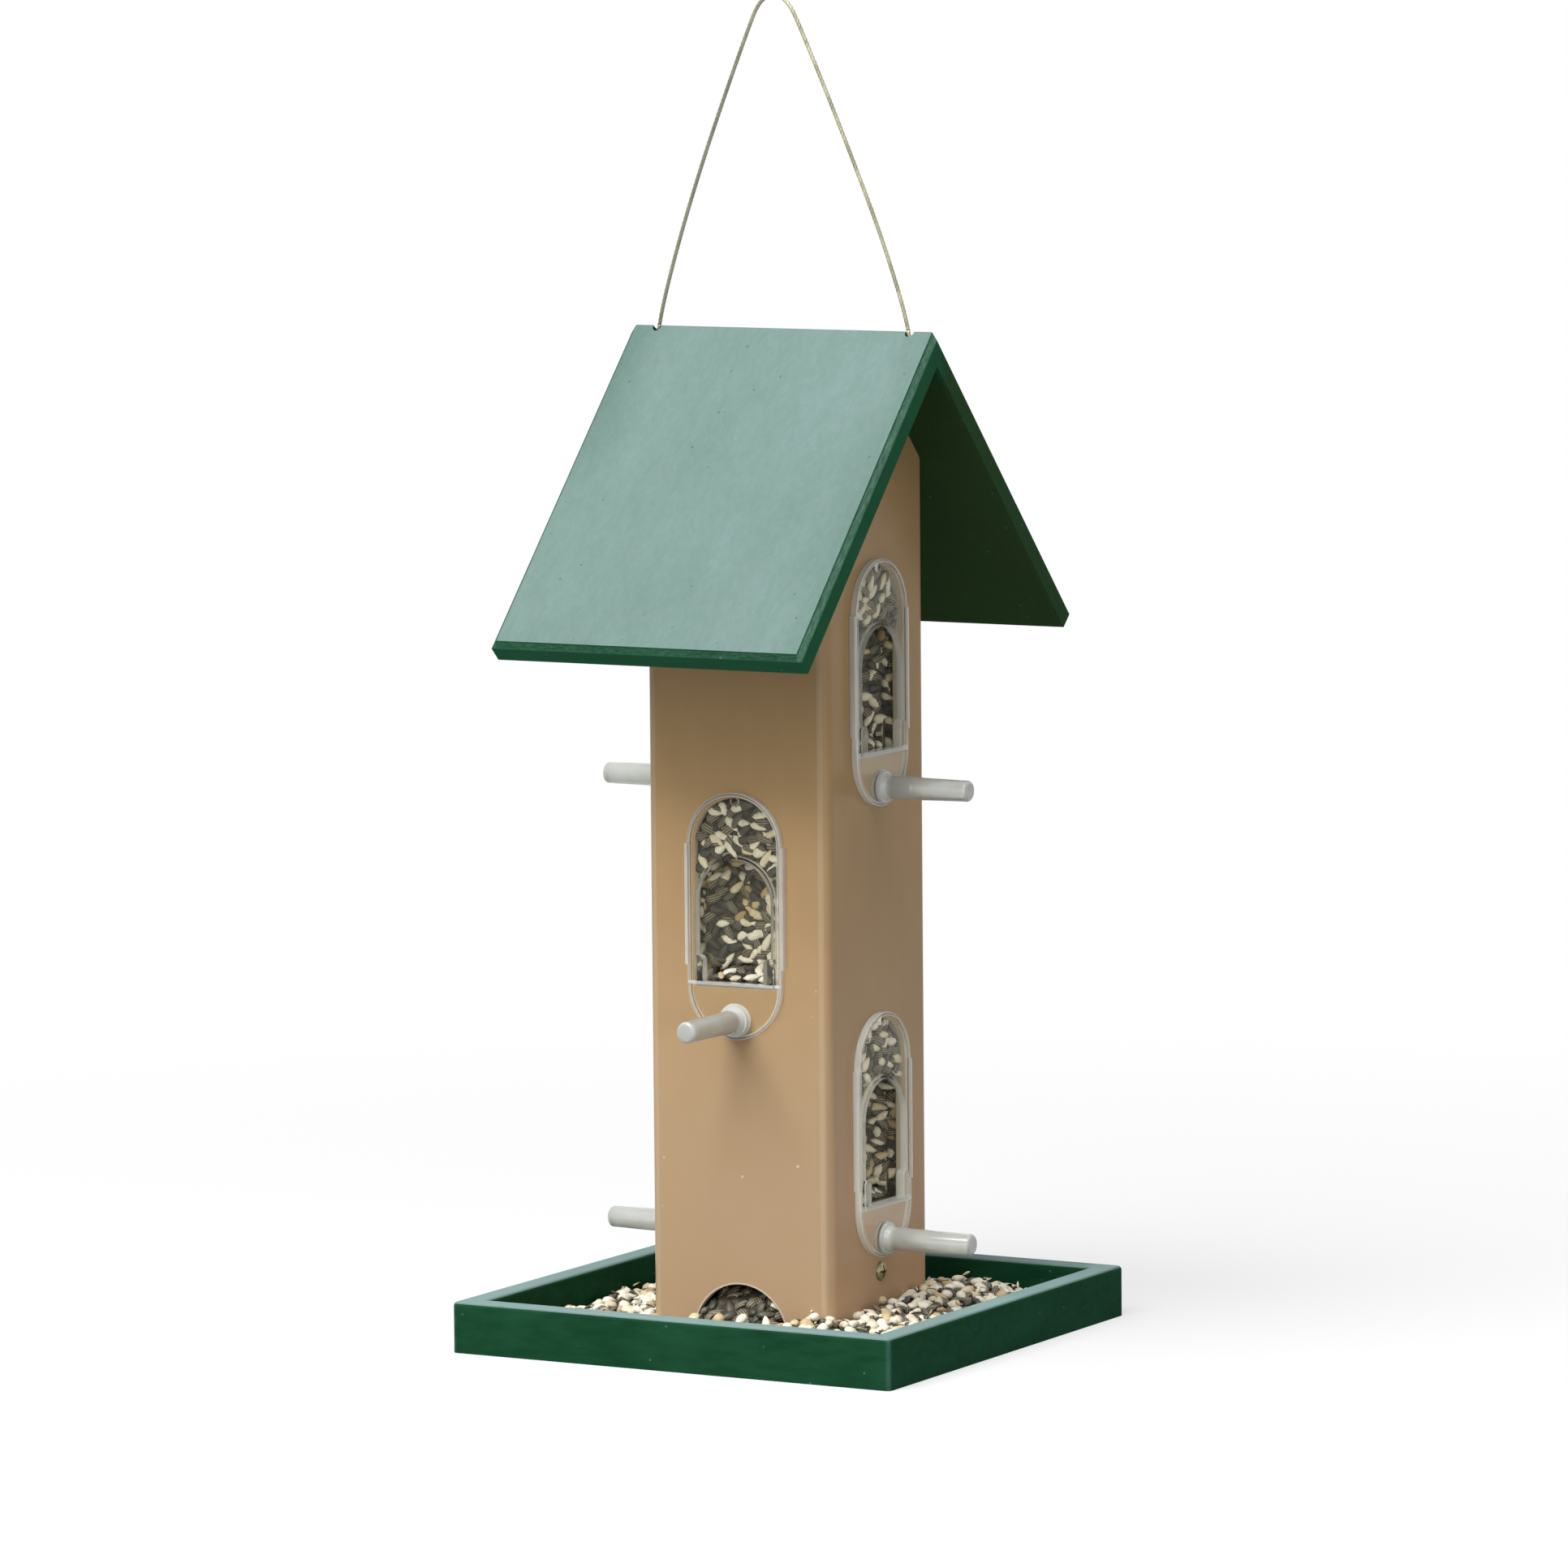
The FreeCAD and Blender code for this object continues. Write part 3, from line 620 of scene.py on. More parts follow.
def finish_tan_vinyl():
    """Extruded tan vinyl: smooth, with faint draw lines, painted bounce light at the foot, painted
    highlights beside its corners, and paler where it was cut.
    """
    vinyl = Finish("tan_vinyl")
    drawn = vinyl.noise(140, stretch=(1, 1, 0.02))
    cloud = vinyl.noise(14)
    colour = vinyl.mix(vinyl.smooth(cloud * 0.85 + drawn * 0.15, 0.3, 0.7), TAN_DEEP, TAN_PALE)

    # Painted bounce light at the foot and low on the gable walls, and flecks towards the foot
    patchy = 0.7 + 0.4 * cloud
    foot_bounce = (1 - vinyl.smooth(vinyl.z, *FOOT_BOUNCE_UP_TO)) * patchy
    colour = vinyl.mix(foot_bounce, colour, TAN_FOOT_BOUNCE)
    # Painted bounce light low on the gable walls
    on_gable = vinyl.inset(vinyl.size(vinyl.x), half_tower, (1.5 * MM, 0.2 * MM))
    gable_bounce = on_gable * (1 - vinyl.smooth(vinyl.z, *GABLE_BOUNCE_UP_TO)) * patchy
    colour = vinyl.mix(gable_bounce, colour, TAN_GABLE_BOUNCE)
    fleck = vinyl.spots(70, 0.045, 0.02) * vinyl.smooth(vinyl.noise(16, shift=(0.7, 0.2, 0)), 0.56, 0.60)
    fleck = fleck * (1 - vinyl.smooth(vinyl.z, *FLECKED_UP_TO))
    colour = vinyl.mix(fleck * 0.8, colour, TAN_FLECK)

    # Pale edges of the arches and of the ports' cut-outs
    from_axis = vinyl.reach(vinyl.x, vinyl.z - tray_floor_top)
    cut = 1 - vinyl.smooth(from_axis, ARCH_RADIUS + 0.5 * MM, ARCH_RADIUS + 1.1 * MM)
    colour = vinyl.mix(cut, colour, TAN_CUT)
    inner_face = half_tower - TOWER_WALL
    for through, across in ((vinyl.x, vinyl.y), (vinyl.y, vinyl.x)):
        in_wall = vinyl.band(vinyl.size(through), inner_face + CUT_FACE, half_tower - CUT_FACE, 0.1 * MM)
        by_port = 1 - vinyl.smooth(vinyl.size(across), CUTOUT_RADIUS + 0.2 * MM, CUTOUT_RADIUS + 0.8 * MM)
        colour = vinyl.mix(in_wall * by_port * 0.9, colour, TAN_SAWN)

    # Painted highlight beside the tower's corners
    low, high = (half_tower - depth for depth in CORNER_HIGHLIGHT_BAND)
    by_corner = vinyl.band(vinyl.size(vinyl.x), low, high, 0.7 * MM)
    tower_corner_highlight = by_corner * vinyl.inset(vinyl.size(vinyl.y), half_tower, (1.8 * MM, 0.9 * MM))
    colour = vinyl.mix(tower_corner_highlight * (0.3 + 0.3 * drawn), colour, TAN_CORNER_HIGHLIGHT)
    vinyl.set(Base_Color=colour, Roughness=0.20 + 0.08 * cloud, IOR=1.5, Specular_IOR_Level=0.10)
    return vinyl.bump(drawn, 0.04, 0.2 * MM).material


def finish_clear_plastic(name, along_wall, bottom):
    """Clear moulded plastic that lets the lamps through, milky on its rim, its ledge and its edges."""
    clear = Finish(name)
    # The gable walls' ports get more milk: painted light
    rim_milk_and_light, plate_milk_and_light, ledge_face = PORT_MILK_AND_PAINTED_LIGHT[along_wall]
    haze = clear.noise(60)
    clear.set(Base_Color=CLEAR_TINT, Roughness=0.02 + 0.05 * haze, Transmission_Weight=1.0, IOR=1.12)

    # Edges that stand square to the wall, outside the tower
    normal = clear.parts(clear.out("ShaderNodeNewGeometry", name="True Normal"))
    facing = clear.size(normal["XYZ".index(along_wall)])
    outward, across = (clear.x, clear.y) if along_wall == "X" else (clear.y, clear.x)
    proud = clear.smooth(clear.size(outward) - half_tower, -0.5 * MM, 0.8 * MM)
    edge = (1 - clear.smooth(facing, 0.25, 0.85)) * (0.03 + 0.80 * proud)

    # The rim follows the port's rounded outline
    rise = clear.z - bottom
    nearest = clear.math("MINIMUM", clear.most(rise, PORT_RADIUS), PORT_SPRING)
    from_middle = clear.reach(across, rise - nearest)
    on_rim = clear.inset(from_middle, PORT_RADIUS, (1.15 * PORT_EDGE, 0.95 * PORT_EDGE))
    groove = (PORT_RADIUS - 0.72 * PORT_EDGE, PORT_RADIUS - 0.35 * PORT_EDGE)
    lines = 1 - clear.band(from_middle, *groove, 0.2 * MM)
    rim = on_rim * (rim_milk_and_light + 0.5 * lines)

    # The perch's seat, the ledge and the plate under it
    from_perch = clear.reach(across, rise - PERCH_RISE)
    seat = 1 - clear.smooth(from_perch, PERCH_COLLAR + 0.4 * MM, PERCH_COLLAR + 1.0 * MM)
    ledge = clear.band(rise, LEDGE - ledge_face, LEDGE + 0.2 * MM, 0.3 * MM)
    plate = 1 - clear.smooth(rise, LEDGE - PLATE_FADE, LEDGE)
    outside = clear.most(rim, ledge * 0.85, seat * 0.85, plate * plate_milk_and_light) * proud
    milky = clear.most(edge, outside, 0.012 + 0.02 * haze) * (0.8 + 0.4 * haze)
    milk = clear.out("ShaderNodeBsdfPrincipled", None, {
        "Base Color": MILKY_TINT,
        "Roughness": 0.12,
        "IOR": 1.49,
        "Transmission Weight": 0.35,
    })
    moulded = clear.blend(milky, clear.body, milk)
    shadow = clear.out("ShaderNodeLightPath", name="Is Shadow Ray")
    open_way = clear.out("ShaderNodeBsdfTransparent", None, {"Color": CLEAR_SHADOW})
    return clear.show(clear.blend(shadow, moulded, open_way))


def finish_frosted_plastic():
    """Frosted moulded plastic, cloudier in the thick collar by the wall."""
    frosted = Finish("frosted_plastic")
    cloud = frosted.noise(90)
    colour = frosted.mix(frosted.smooth(cloud, 0.3, 0.7), FROST_DIM, FROST_BRIGHT)
    frosted.set(Base_Color=colour, Roughness=0.14 + 0.1 * cloud, IOR=1.46, Transmission_Weight=0.44)
    frosted.set(Subsurface_Weight=0.5, Subsurface_Radius=(1, 1, 1), Subsurface_Scale=4 * MM)
    frosted.set(Coat_Weight=0.8, Coat_Roughness=0.06)
    cloudy = frosted.out("ShaderNodeBsdfPrincipled", None, {
        "Base Color": FROST_COLLAR,
        "Roughness": 0.15,
        "IOR": 1.46,
        "Transmission Weight": 0.1,
        "Subsurface Weight": 0.6,
        "Subsurface Radius": (1, 1, 1),
        "Subsurface Scale": 3 * MM,
    })
    from_wall = frosted.most(frosted.size(frosted.x), frosted.size(frosted.y)) - half_tower
    in_collar = 0.75 * (1 - frosted.smooth(from_wall, *COLLAR_FADE))
    return frosted.show(frosted.blend(in_collar, frosted.body, cloudy))


def finish_zinc(name, recess_height=None):
    """Yellow zinc plating, a little rubbed. A gable's screw, at recess_height, is dark in its recess."""
    zinc = Finish(name)
    cloud = zinc.noise(500, detail=4.0)
    colour = zinc.mix(zinc.smooth(cloud, 0.35, 0.65), ZINC_DULL, ZINC_BRIGHT)
    if recess_height:
        # Painted shade in the cross recess and round the head's rim
        rise = zinc.z - recess_height
        from_axis = zinc.reach(zinc.y, rise)
        narrow = zinc.math("MINIMUM", zinc.size(zinc.y), zinc.size(rise))
        cross = 1 - zinc.smooth(narrow, *RECESS_HALF_WIDTH)
        cross = cross * (1 - zinc.smooth(from_axis, *RECESS_REACH))
        rim = zinc.smooth(from_axis, *HEAD_RIM)
        colour = zinc.mix(zinc.most(cross * 0.9, rim * 0.6), colour, ZINC_SHADED)
    return zinc.set(Base_Color=colour, Metallic=0.7, Roughness=0.30 + 0.2 * cloud).material


def finish_cable():
    """Twisted steel strands under a thin clear coat, darker on the left."""
    cable = Finish("coated_cable")
    cloud = cable.noise(90, detail=4.0)
    colour = cable.mix(cable.smooth(cloud, 0.35, 0.65), CABLE_DULL, CABLE_BRIGHT)
    # Darker towards the left
    dark_left = 1 - cable.smooth(cable.x, -30 * MM, 10 * MM)
    colour = cable.mix(dark_left * 0.6, colour, CABLE_DARK_LEFT)
    cable.set(Base_Color=colour, Metallic=0.55, Roughness=0.30 + 0.15 * cloud, Coat_Weight=0.6)
    return cable.material


def finish_ferrule():
    """Crimped aluminium."""
    ferrule = Finish("aluminium_ferrule")
    cloud = ferrule.noise(400, detail=4.0)
    colour = ferrule.mix(cloud, FERRULE_DULL, FERRULE_BRIGHT)
    return ferrule.set(Base_Color=colour, Metallic=1.0, Roughness=0.35 + 0.15 * cloud).material


def dress_nodes():
    """Gives each carried-over node its finish, by its own name or else by its slot in the record."""
    gable_screw_height = sum(corner.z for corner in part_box("wedge_screws")) / 2
    finishes = {
        "green_board": finish_green_board(),
        "tan_vinyl": finish_tan_vinyl(),
        "frosted_perch": finish_frosted_plastic(),
        "zinc_screw": finish_zinc("yellow_zinc"),
        "wedge_screws": finish_zinc("yellow_zinc_gable", gable_screw_height),
        "aluminium_ferrule": finish_ferrule(),
    }
    clear = {}
    for port, turn in PORTS.items():
        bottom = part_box("port_" + port)[0].z
        wall = "X" if turn % 180 else "Y"
        name = "clear_plastic_%s_%d" % (wall.lower(), round(bottom / MM))
        if name not in clear:
            clear[name] = finish_clear_plastic(name, wall, bottom)
        finishes["port_" + port] = clear[name]
    for part in frame["record"]["subparts"]:
        finish = finishes.get(part["node"], finishes.get(part["material_slot"]))
        if finish is not None:
            materials = nodes[part["node"]].data.materials
            materials.clear()
            materials.append(finish)


def new_piece(name, vertices, faces, material):
    """A smooth mesh object at the origin."""
    mesh = bpy.data.meshes.new(name)
    mesh.from_pydata([tuple(vertex) for vertex in vertices], [], faces)
    mesh.polygons.foreach_set("use_smooth", [True] * len(mesh.polygons))
    if material:
        mesh.materials.append(material)
    mesh.update()
    piece = bpy.data.objects.new(name, mesh)
    bpy.context.scene.collection.objects.link(piece)
    return piece


def cable_line():
    """Points along the cable's smooth line, read from its spline."""
    curve = bpy.data.curves.new("cable_route", "CURVE")
    curve.dimensions = "3D"
    spline = curve.splines.new("NURBS")
    spline.points.add(len(CABLE_ROUTE) - 1)
    for point, (x, rise) in zip(spline.points, CABLE_ROUTE):
        point.co = (x * MM, 0, ridge_height + rise * MM, 1)
    spline.order_u = 3
    spline.use_endpoint_u = True
    curve.resolution_u = CABLE_SPLINE_STEPS
    route = bpy.data.objects.new("cable_route", curve)
    bpy.context.scene.collection.objects.link(route)
    graph = bpy.context.evaluated_depsgraph_get()
    mesh = bpy.data.meshes.new_from_object(route.evaluated_get(graph))
    points = np.array([vertex.co for vertex in mesh.vertices])
    bpy.data.objects.remove(route)
    bpy.data.meshes.remove(mesh)
    return points


def along(points):
    """The distance of each point along the line."""
    steps = np.linalg.norm(np.diff(points, axis=0), axis=1)
    return np.concatenate([[0], np.cumsum(steps)])


def stranded_tube(name, line, low, high, material):
    """A tube of twisted strands along part of the line, from one running length to another."""
    runs = along(line)
    count = max(2, int(round((high - low) / CABLE_RING_STEP)) + 1)
    places = np.linspace(low, high, count)
    centres = np.stack([np.interp(places, runs, line[:, axis]) for axis in range(3)], 1)
    ways = np.gradient(centres, axis=0)
    ways /= np.linalg.norm(ways, axis=1)[:, None]
    side = np.array([0.0, 1.0, 0.0])
    others = np.cross(ways, side)
    points_round = CABLE_STRANDS * CABLE_POINTS_PER_STRAND
    angles = np.arange(points_round) * 2 * math.pi / points_round
    swell = CABLE_STRAND_DEPTH * np.cos(CABLE_STRANDS * angles)
    radii = CABLE_RADIUS * (1 - CABLE_STRAND_DEPTH + swell)
    vertices = []
    for centre, other, place in zip(centres, others, places):
        turned = angles + 2 * math.pi * place / CABLE_LAY
        ring = np.outer(np.cos(turned) * radii, side) + np.outer(np.sin(turned) * radii, other)
        vertices.extend(centre + ring)
    faces = []
    for ring in range(count - 1):
        for index in range(points_round):
            following = (index + 1) % points_round
            a = ring * points_round
            b = a + points_round
            faces.append((a + index, a + following, b + following, b + index))
    last = (count - 1) * points_round
    faces.append(tuple(reversed(range(points_round))))
    faces.append(tuple(range(last, last + points_round)))
    return new_piece(name, vertices, faces, material), centres


def add_cable():
    """The hanging cable: a drop from each gable hole to the ridge, and the loop above the ridge."""
    material = finish_cable()
    line = cable_line()
    runs = along(line)
    above = np.nonzero(line[:, 2] >= ridge_height)[0]
    left, right = runs[above[0]], runs[above[-1]]
    ferrules = nodes["cable_ferrules"]
    spans = {"cable_left": (0, left), "cable_loop": (left, right), "cable_right": (right, runs[-1])}
    for name, (low, high) in spans.items():
        piece, centres = stranded_tube(name, line, low, high, material)
        in_loop = name == "cable_loop"
        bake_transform(piece)
        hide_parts("hanging_cable")
        tuple(centres[0])
        high - low
        [tuple(point) for point in centres]
        [ferrules] if name == "cable_left" else []


class Bed:
    """Sheets of ground for seeds, marked with how thickly they lie, how many are pale and what is bare."""

    def __init__(self):
        self.vertices = []
        self.faces = []
        self.marks = {"cover": [], "pale": [], "bare": []}

    def sheet(self, rows, cover=1.0, pale=1.0, bare=0.0):
        """Adds a sheet through rows of points. A mark is a number, or rows of numbers like the points."""
        start = len(self.vertices)
        width = len(rows[0])
        for index, row in enumerate(rows):
            self.vertices.extend(row)
            for label, mark in (("cover", cover), ("pale", pale), ("bare", bare)):
                self.marks[label].extend(mark[index] if isinstance(mark, list) else [mark] * width)
        for row in range(len(rows) - 1):
            for column in range(width - 1):
                a = start + row * width + column
                self.faces.append((a, a + 1, a + width + 1, a + width))

    def piece(self, name):
        """The sheets as one mesh object, with the marks as attributes of its points."""
        ground = new_piece(name, self.vertices, self.faces, None)
        for label, values in self.marks.items():
            ground.data.attributes.new(label, "FLOAT", "POINT").data.foreach_set("value", values)
        return ground


def seed_shape(name, size):
    """A seed along X: blunt at one end, pointed at the other, a little flat."""
    length, width, thick = size
    vertices = [(-length / 2, 0, 0)]
    for ring in range(1, SEED_RINGS):
        share = ring / SEED_RINGS
        girth = math.sin(math.pi * share ** SEED_BLUNTNESS) ** SEED_FULLNESS
        girth *= SEED_GIRTH - SEED_TAPER * share
        for side in range(SEED_SIDES):
            angle = 2 * math.pi * side / SEED_SIDES
            vertices.append((
                (share - 0.5) * length,
                math.cos(angle) * girth * width / 2,
                math.sin(angle) * girth * thick / 2,
            ))
    vertices.append((length / 2, 0, 0))
    last = len(vertices) - 1
    faces = []
    for side in range(SEED_SIDES):
        following = (side + 1) % SEED_SIDES
        faces.append((0, 1 + following, 1 + side))
        for ring in range(SEED_RINGS - 2):
            a = 1 + ring * SEED_SIDES
            b = a + SEED_SIDES
            faces.append((a + side, a + following, b + following, b + side))
        tip = 1 + (SEED_RINGS - 2) * SEED_SIDES
        faces.append((tip + side, tip + following, last))
    shape = new_piece(name, vertices, faces, None)
    around = shape.data.uv_layers.new(name="UVMap")
    for polygon in shape.data.polygons:
        for corner, vertex in zip(polygon.loop_indices, polygon.vertices):
            x, y = vertices[vertex][:2]
            around.data[corner].uv = (y / width + 0.5, x / length + 0.5)
    return shape


class Strewing(Graph):
    """Geometry nodes that strew two kinds of seed over a bed."""

    INPUTS = {
        "Bed": "NodeSocketGeometry",
        "Dark Seed": "NodeSocketObject",
        "Pale Seed": "NodeSocketObject",
        "Dark Spacing": "NodeSocketFloat",
        "Pale Spacing": "NodeSocketFloat",
        "Dark Lift": "NodeSocketFloat",
        "Pale Lift": "NodeSocketFloat",
        "Pale Clusters": "NodeSocketFloat",
        "Tilt": "NodeSocketFloat",
        "Spin": "NodeSocketFloat",
        "Random": "NodeSocketInt",
        "Bed Finish": "NodeSocketMaterial",
        "Dark Finish": "NodeSocketMaterial",
        "Pale Finish": "NodeSocketMaterial",
    }

    def __init__(self):
        super().__init__(bpy.data.node_groups.new("strewn_seeds", "GeometryNodeTree"))
        sockets = self.tree.interface
        for name, kind in self.INPUTS.items():
            sockets.new_socket(name=name, in_out="INPUT", socket_type=kind)
        sockets.new_socket(name="Seeds", in_out="OUTPUT", socket_type="NodeSocketGeometry")
        entry = self.node("NodeGroupInput")
        self.given = {name: Value(self, entry.outputs[name]) for name in self.INPUTS}
        cover = self.bed_mark("cover")
        clustered = cover * self.bed_mark("pale") * (1 - self.cluster_gaps())
        seeds = self.joined(self.ground(), self.layer("Dark", 0, cover), self.layer("Pale", 10, clustered))
        self.node("NodeGroupOutput", None, {0: seeds})

    def bed_mark(self, label):
        """One of the bed's marks."""
        return self.out("GeometryNodeInputNamedAttribute", {"data_type": "FLOAT"}, {"Name": label})

    def random_number(self, low, high, seed):
        """A number for each seed."""
        sockets = {2: low, 3: high, "Seed": seed}
        return self.out("FunctionNodeRandomValue", {"data_type": "FLOAT"}, sockets, 1)

    def random_vector(self, low, high, seed):
        """A vector for each seed."""
        sockets = {0: low, 1: high, "Seed": seed}
        return self.out("FunctionNodeRandomValue", {"data_type": "FLOAT_VECTOR"}, sockets)

    def joined(self, *branches):
        """Several geometries as one."""
        join = self.node("GeometryNodeJoinGeometry")
        for branch in branches:
            self.feed(join.inputs[0], branch)
        return Value(self, join.outputs[0])

    def painted(self, geometry, finish):
        """A geometry with one of the given finishes."""
        sockets = {"Geometry": geometry, "Material": self.given[finish]}
        return self.out("GeometryNodeSetMaterial", None, sockets)

    def ground(self):
        """The bed itself as a thin shell, apart from where it is bare."""
        covered = self.math("LESS_THAN", self.bed_mark("bare"), 0.5)
        sockets = {"Geometry": self.given["Bed"], "Selection": covered}
        sheet = self.out("GeometryNodeSeparateGeometry", {"domain": "FACE"}, sockets)
        sockets = {"Mesh": sheet, "Offset Scale": GROUND_THICK, "Individual": False}
        raised = self.out("GeometryNodeExtrudeMesh", {"mode": "FACES"}, sockets)
        turned = self.out("GeometryNodeFlipFaces", None, {"Mesh": sheet})
        sockets = {"Geometry": self.joined(raised, turned), "Distance": GROUND_WELD}
        return self.painted(self.out("GeometryNodeMergeByDistance", None, sockets), "Bed Finish")

    def cluster_gaps(self):
        """How much of the pale seed is missing between its clusters."""
        patches = self.out("ShaderNodeTexNoise", None, {"Scale": CLUSTER_SCALE, "Detail": 1.0})
        return self.given["Pale Clusters"] * (1 - self.smooth(patches, *CLUSTER_FADE))

    def tumbled(self, turn, seed):
        """A seed's turn on the bed, tilted and spun at random."""
        tilt, spin = self.given["Tilt"], self.given["Spin"]
        backward = self.out("ShaderNodeCombineXYZ", None, {0: 0 - tilt, 1: 0 - tilt, 2: 0 - spin})
        forward = self.out("ShaderNodeCombineXYZ", None, {0: tilt, 1: tilt, 2: spin})
        angles = self.random_vector(backward, forward, seed)
        tumble = self.out("FunctionNodeEulerToRotation", None, {0: angles})
        sockets = {"Rotation": turn, "Rotate By": tumble}
        return self.out("FunctionNodeRotateRotation", {"rotation_space": "LOCAL"}, sockets)

    def layer(self, kind, shift, density):
        """One kind of seed at random points of the bed, each lifted, turned, sized and toned by itself."""
        spacing = self.given[kind + " Spacing"]
        seed = self.given["Random"] + shift
        dots = self.node("GeometryNodeDistributePointsOnFaces", {"distribute_method": "POISSON"}, {
            "Mesh": self.given["Bed"],
            "Distance Min": spacing,
            "Density Max": SEED_CROWDING / (spacing * spacing),
            "Density Factor": density,
            "Seed": seed,
        })
        names = ("Points", "Normal", "Rotation")
        points, normal, turn = (Value(self, dots.outputs[name]) for name in names)
        lift = self.given[kind + " Lift"]
        least, most = SEED_LIFTS
        uneven = self.random_number(lift * least, lift * most, seed + 3)
        raised = self.out("ShaderNodeVectorMath", {"operation": "SCALE"}, {0: normal, "Scale": uneven})
        points = self.out("GeometryNodeSetPosition", None, {"Geometry": points, "Offset": raised})
        shape = self.out("GeometryNodeObjectInfo", None, {"Object": self.given[kind + " Seed"]}, "Geometry")
        scattered = self.out("GeometryNodeInstanceOnPoints", None, {
            "Points": points,
            "Instance": shape,
            "Rotation": self.tumbled(turn, seed),
            "Scale": self.random_vector(*SEED_SIZES, seed + 1),
        })
        settings = {"data_type": "FLOAT", "domain": "INSTANCE"}
        toned = self.out("GeometryNodeStoreNamedAttribute", settings, {
            "Geometry": scattered,
            "Name": "tone",
            "Value": self.random_number(0.0, 1.0, seed + 2),
        })
        real = self.out("GeometryNodeRealizeInstances", None, {0: toned})
        return self.painted(real, kind + " Finish")


def strew(name, bed, tree, inputs):
    """Strews seeds over a bed. The result is a plain mesh that goes with the feeder."""
    ground = bed.piece(name + "_ground")
    modifier = ground.modifiers.new("strewn", "NODES")
    modifier.node_group = tree
    for item in tree.interface.items_tree:
        if item.in_out == "INPUT" and item.name in inputs:
            modifier[item.identifier] = inputs[item.name]
    graph = bpy.context.evaluated_depsgraph_get()
    mesh = bpy.data.meshes.new_from_object(ground.evaluated_get(graph))
    mesh.name = name
    piece = bpy.data.objects.new(name, mesh)
    bpy.context.scene.collection.objects.link(piece)
    bpy.data.objects.remove(ground)
    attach(piece, "feeder")


def pane_bed(bed, at, pale):
    """Seed behind a port's pane, between the alcove's arch and the cut-out's."""
    inner = ALCOVE_RADIUS + PANE_BED_GAP
    outer = CUTOUT_RADIUS - CUTOUT_GAP
    rise = PORT_SPRING - ALCOVE_SPRING
    first = math.acos(outer / inner) + PANE_BED_END
    rows = []
    for step in range(PANE_BED_STEPS + 1):
        angle = math.pi - first - (math.pi - 2 * first) * step / PANE_BED_STEPS
        side, up = math.cos(angle), math.sin(angle)
        reach = outer / max(abs(side), 1e-6)
        if reach * up > rise:
            reach = rise * up + math.sqrt((rise * up) ** 2 - rise ** 2 + outer ** 2)
        rows.append([
            at(side * r, ALCOVE_SPRING + up * r, -PANE_BED_DEPTH)
            for r in np.linspace(inner, max(reach, inner + PANE_BED_LEAST), PANE_BED_POINTS)
        ])
    bed.sheet(rows[::-1], pale=pale)


def skirt_bed(bed, at):
    """Seed round a port's alcove."""
    skirt = ALCOVE_RADIUS + ALCOVE_GAP
    side_heights = np.linspace(LEDGE - SKIRT_DROP, ALCOVE_SPRING, SKIRT_SIDE_POINTS)
    outline = [(-skirt, v) for v in side_heights]
    for step in range(1, SKIRT_STEPS):
        angle = math.pi * (1 - step / SKIRT_STEPS)
        outline.append((skirt * math.cos(angle), ALCOVE_SPRING + skirt * math.sin(angle)))
    outline += [(skirt, v) for v in side_heights[::-1]]
    bed.sheet([[at(u, v, -depth) for u, v in outline] for depth in SKIRT_DEPTHS], pale=SKIRT_PALE_SHARE)


def back_bed(bed, at, low_share, high_share):
    """Seed behind the curved back of a port's alcove."""
    columns, lines = BACK_BED_POINTS
    across = np.linspace(-ALCOVE_RADIUS, ALCOVE_RADIUS, columns)
    top = ALCOVE_SPRING + ALCOVE_RADIUS + BACK_BED_RISE
    rows, pale = [], []
    for v in np.linspace(LEDGE + SLOT_HEIGHT - BACK_BED_DROP, top, lines):
        row, shares = [], []
        for u in across:
            back = ALCOVE_BACK_AXIS - math.sqrt(ALCOVE_BACK_RADIUS ** 2 - u ** 2)
            row.append(at(u, v, back - ALCOVE_GAP))
            low = u > BACK_BED_PALE_FROM and v < ALCOVE_SPRING
            shares.append(low_share if low else high_share)
        rows.append(row)
        pale.append(shares)
    bed.sheet(rows, pale=pale)


def slot_bed(bed, at):
    """Seed in a port's feed slot, down to the ledge."""
    columns, lines = SLOT_BED_POINTS
    half = SLOT_HALF - SLOT_BED_GAP
    rows = []
    for share in np.linspace(0, 1, lines):
        w = share * SLOT_BED_RUN - SLOT_BED_DEPTH
        fall = (1 - share) ** SLOT_BED_CURVE * (SLOT_HEIGHT - SLOT_BED_TOP_GAP)
        rows.append([at(u, LEDGE + SLOT_BED_GAP + fall, w) for u in np.linspace(-half, half, columns)])
    bed.sheet(rows[::-1])


def port_beds(bed, port, turn):
    """The ground of seed behind one port."""
    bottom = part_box("port_" + port)[0].z
    wall = Matrix.Rotation(math.radians(turn), 3, "Z")

    def at(u, v, w):
        """A point across the port, up from its lower end and out from the tower's face."""
        return wall @ Vector((u, -half_tower - w, bottom + v))

    pane_share, low_share, high_share = PALE_SHARES[port]
    pane_bed(bed, at, pane_share)
    skirt_bed(bed, at)
    back_bed(bed, at, low_share, high_share)
    slot_bed(bed, at)


def heap_share(east, north):
    """How deep the tray's heap is towards a side: most to the right, least to the front."""
    leaning = 0.55 + 0.30 * east + 0.15 * north
    return leaning + 0.16 * (east ** 2 - north ** 2) + 0.24 * east * north


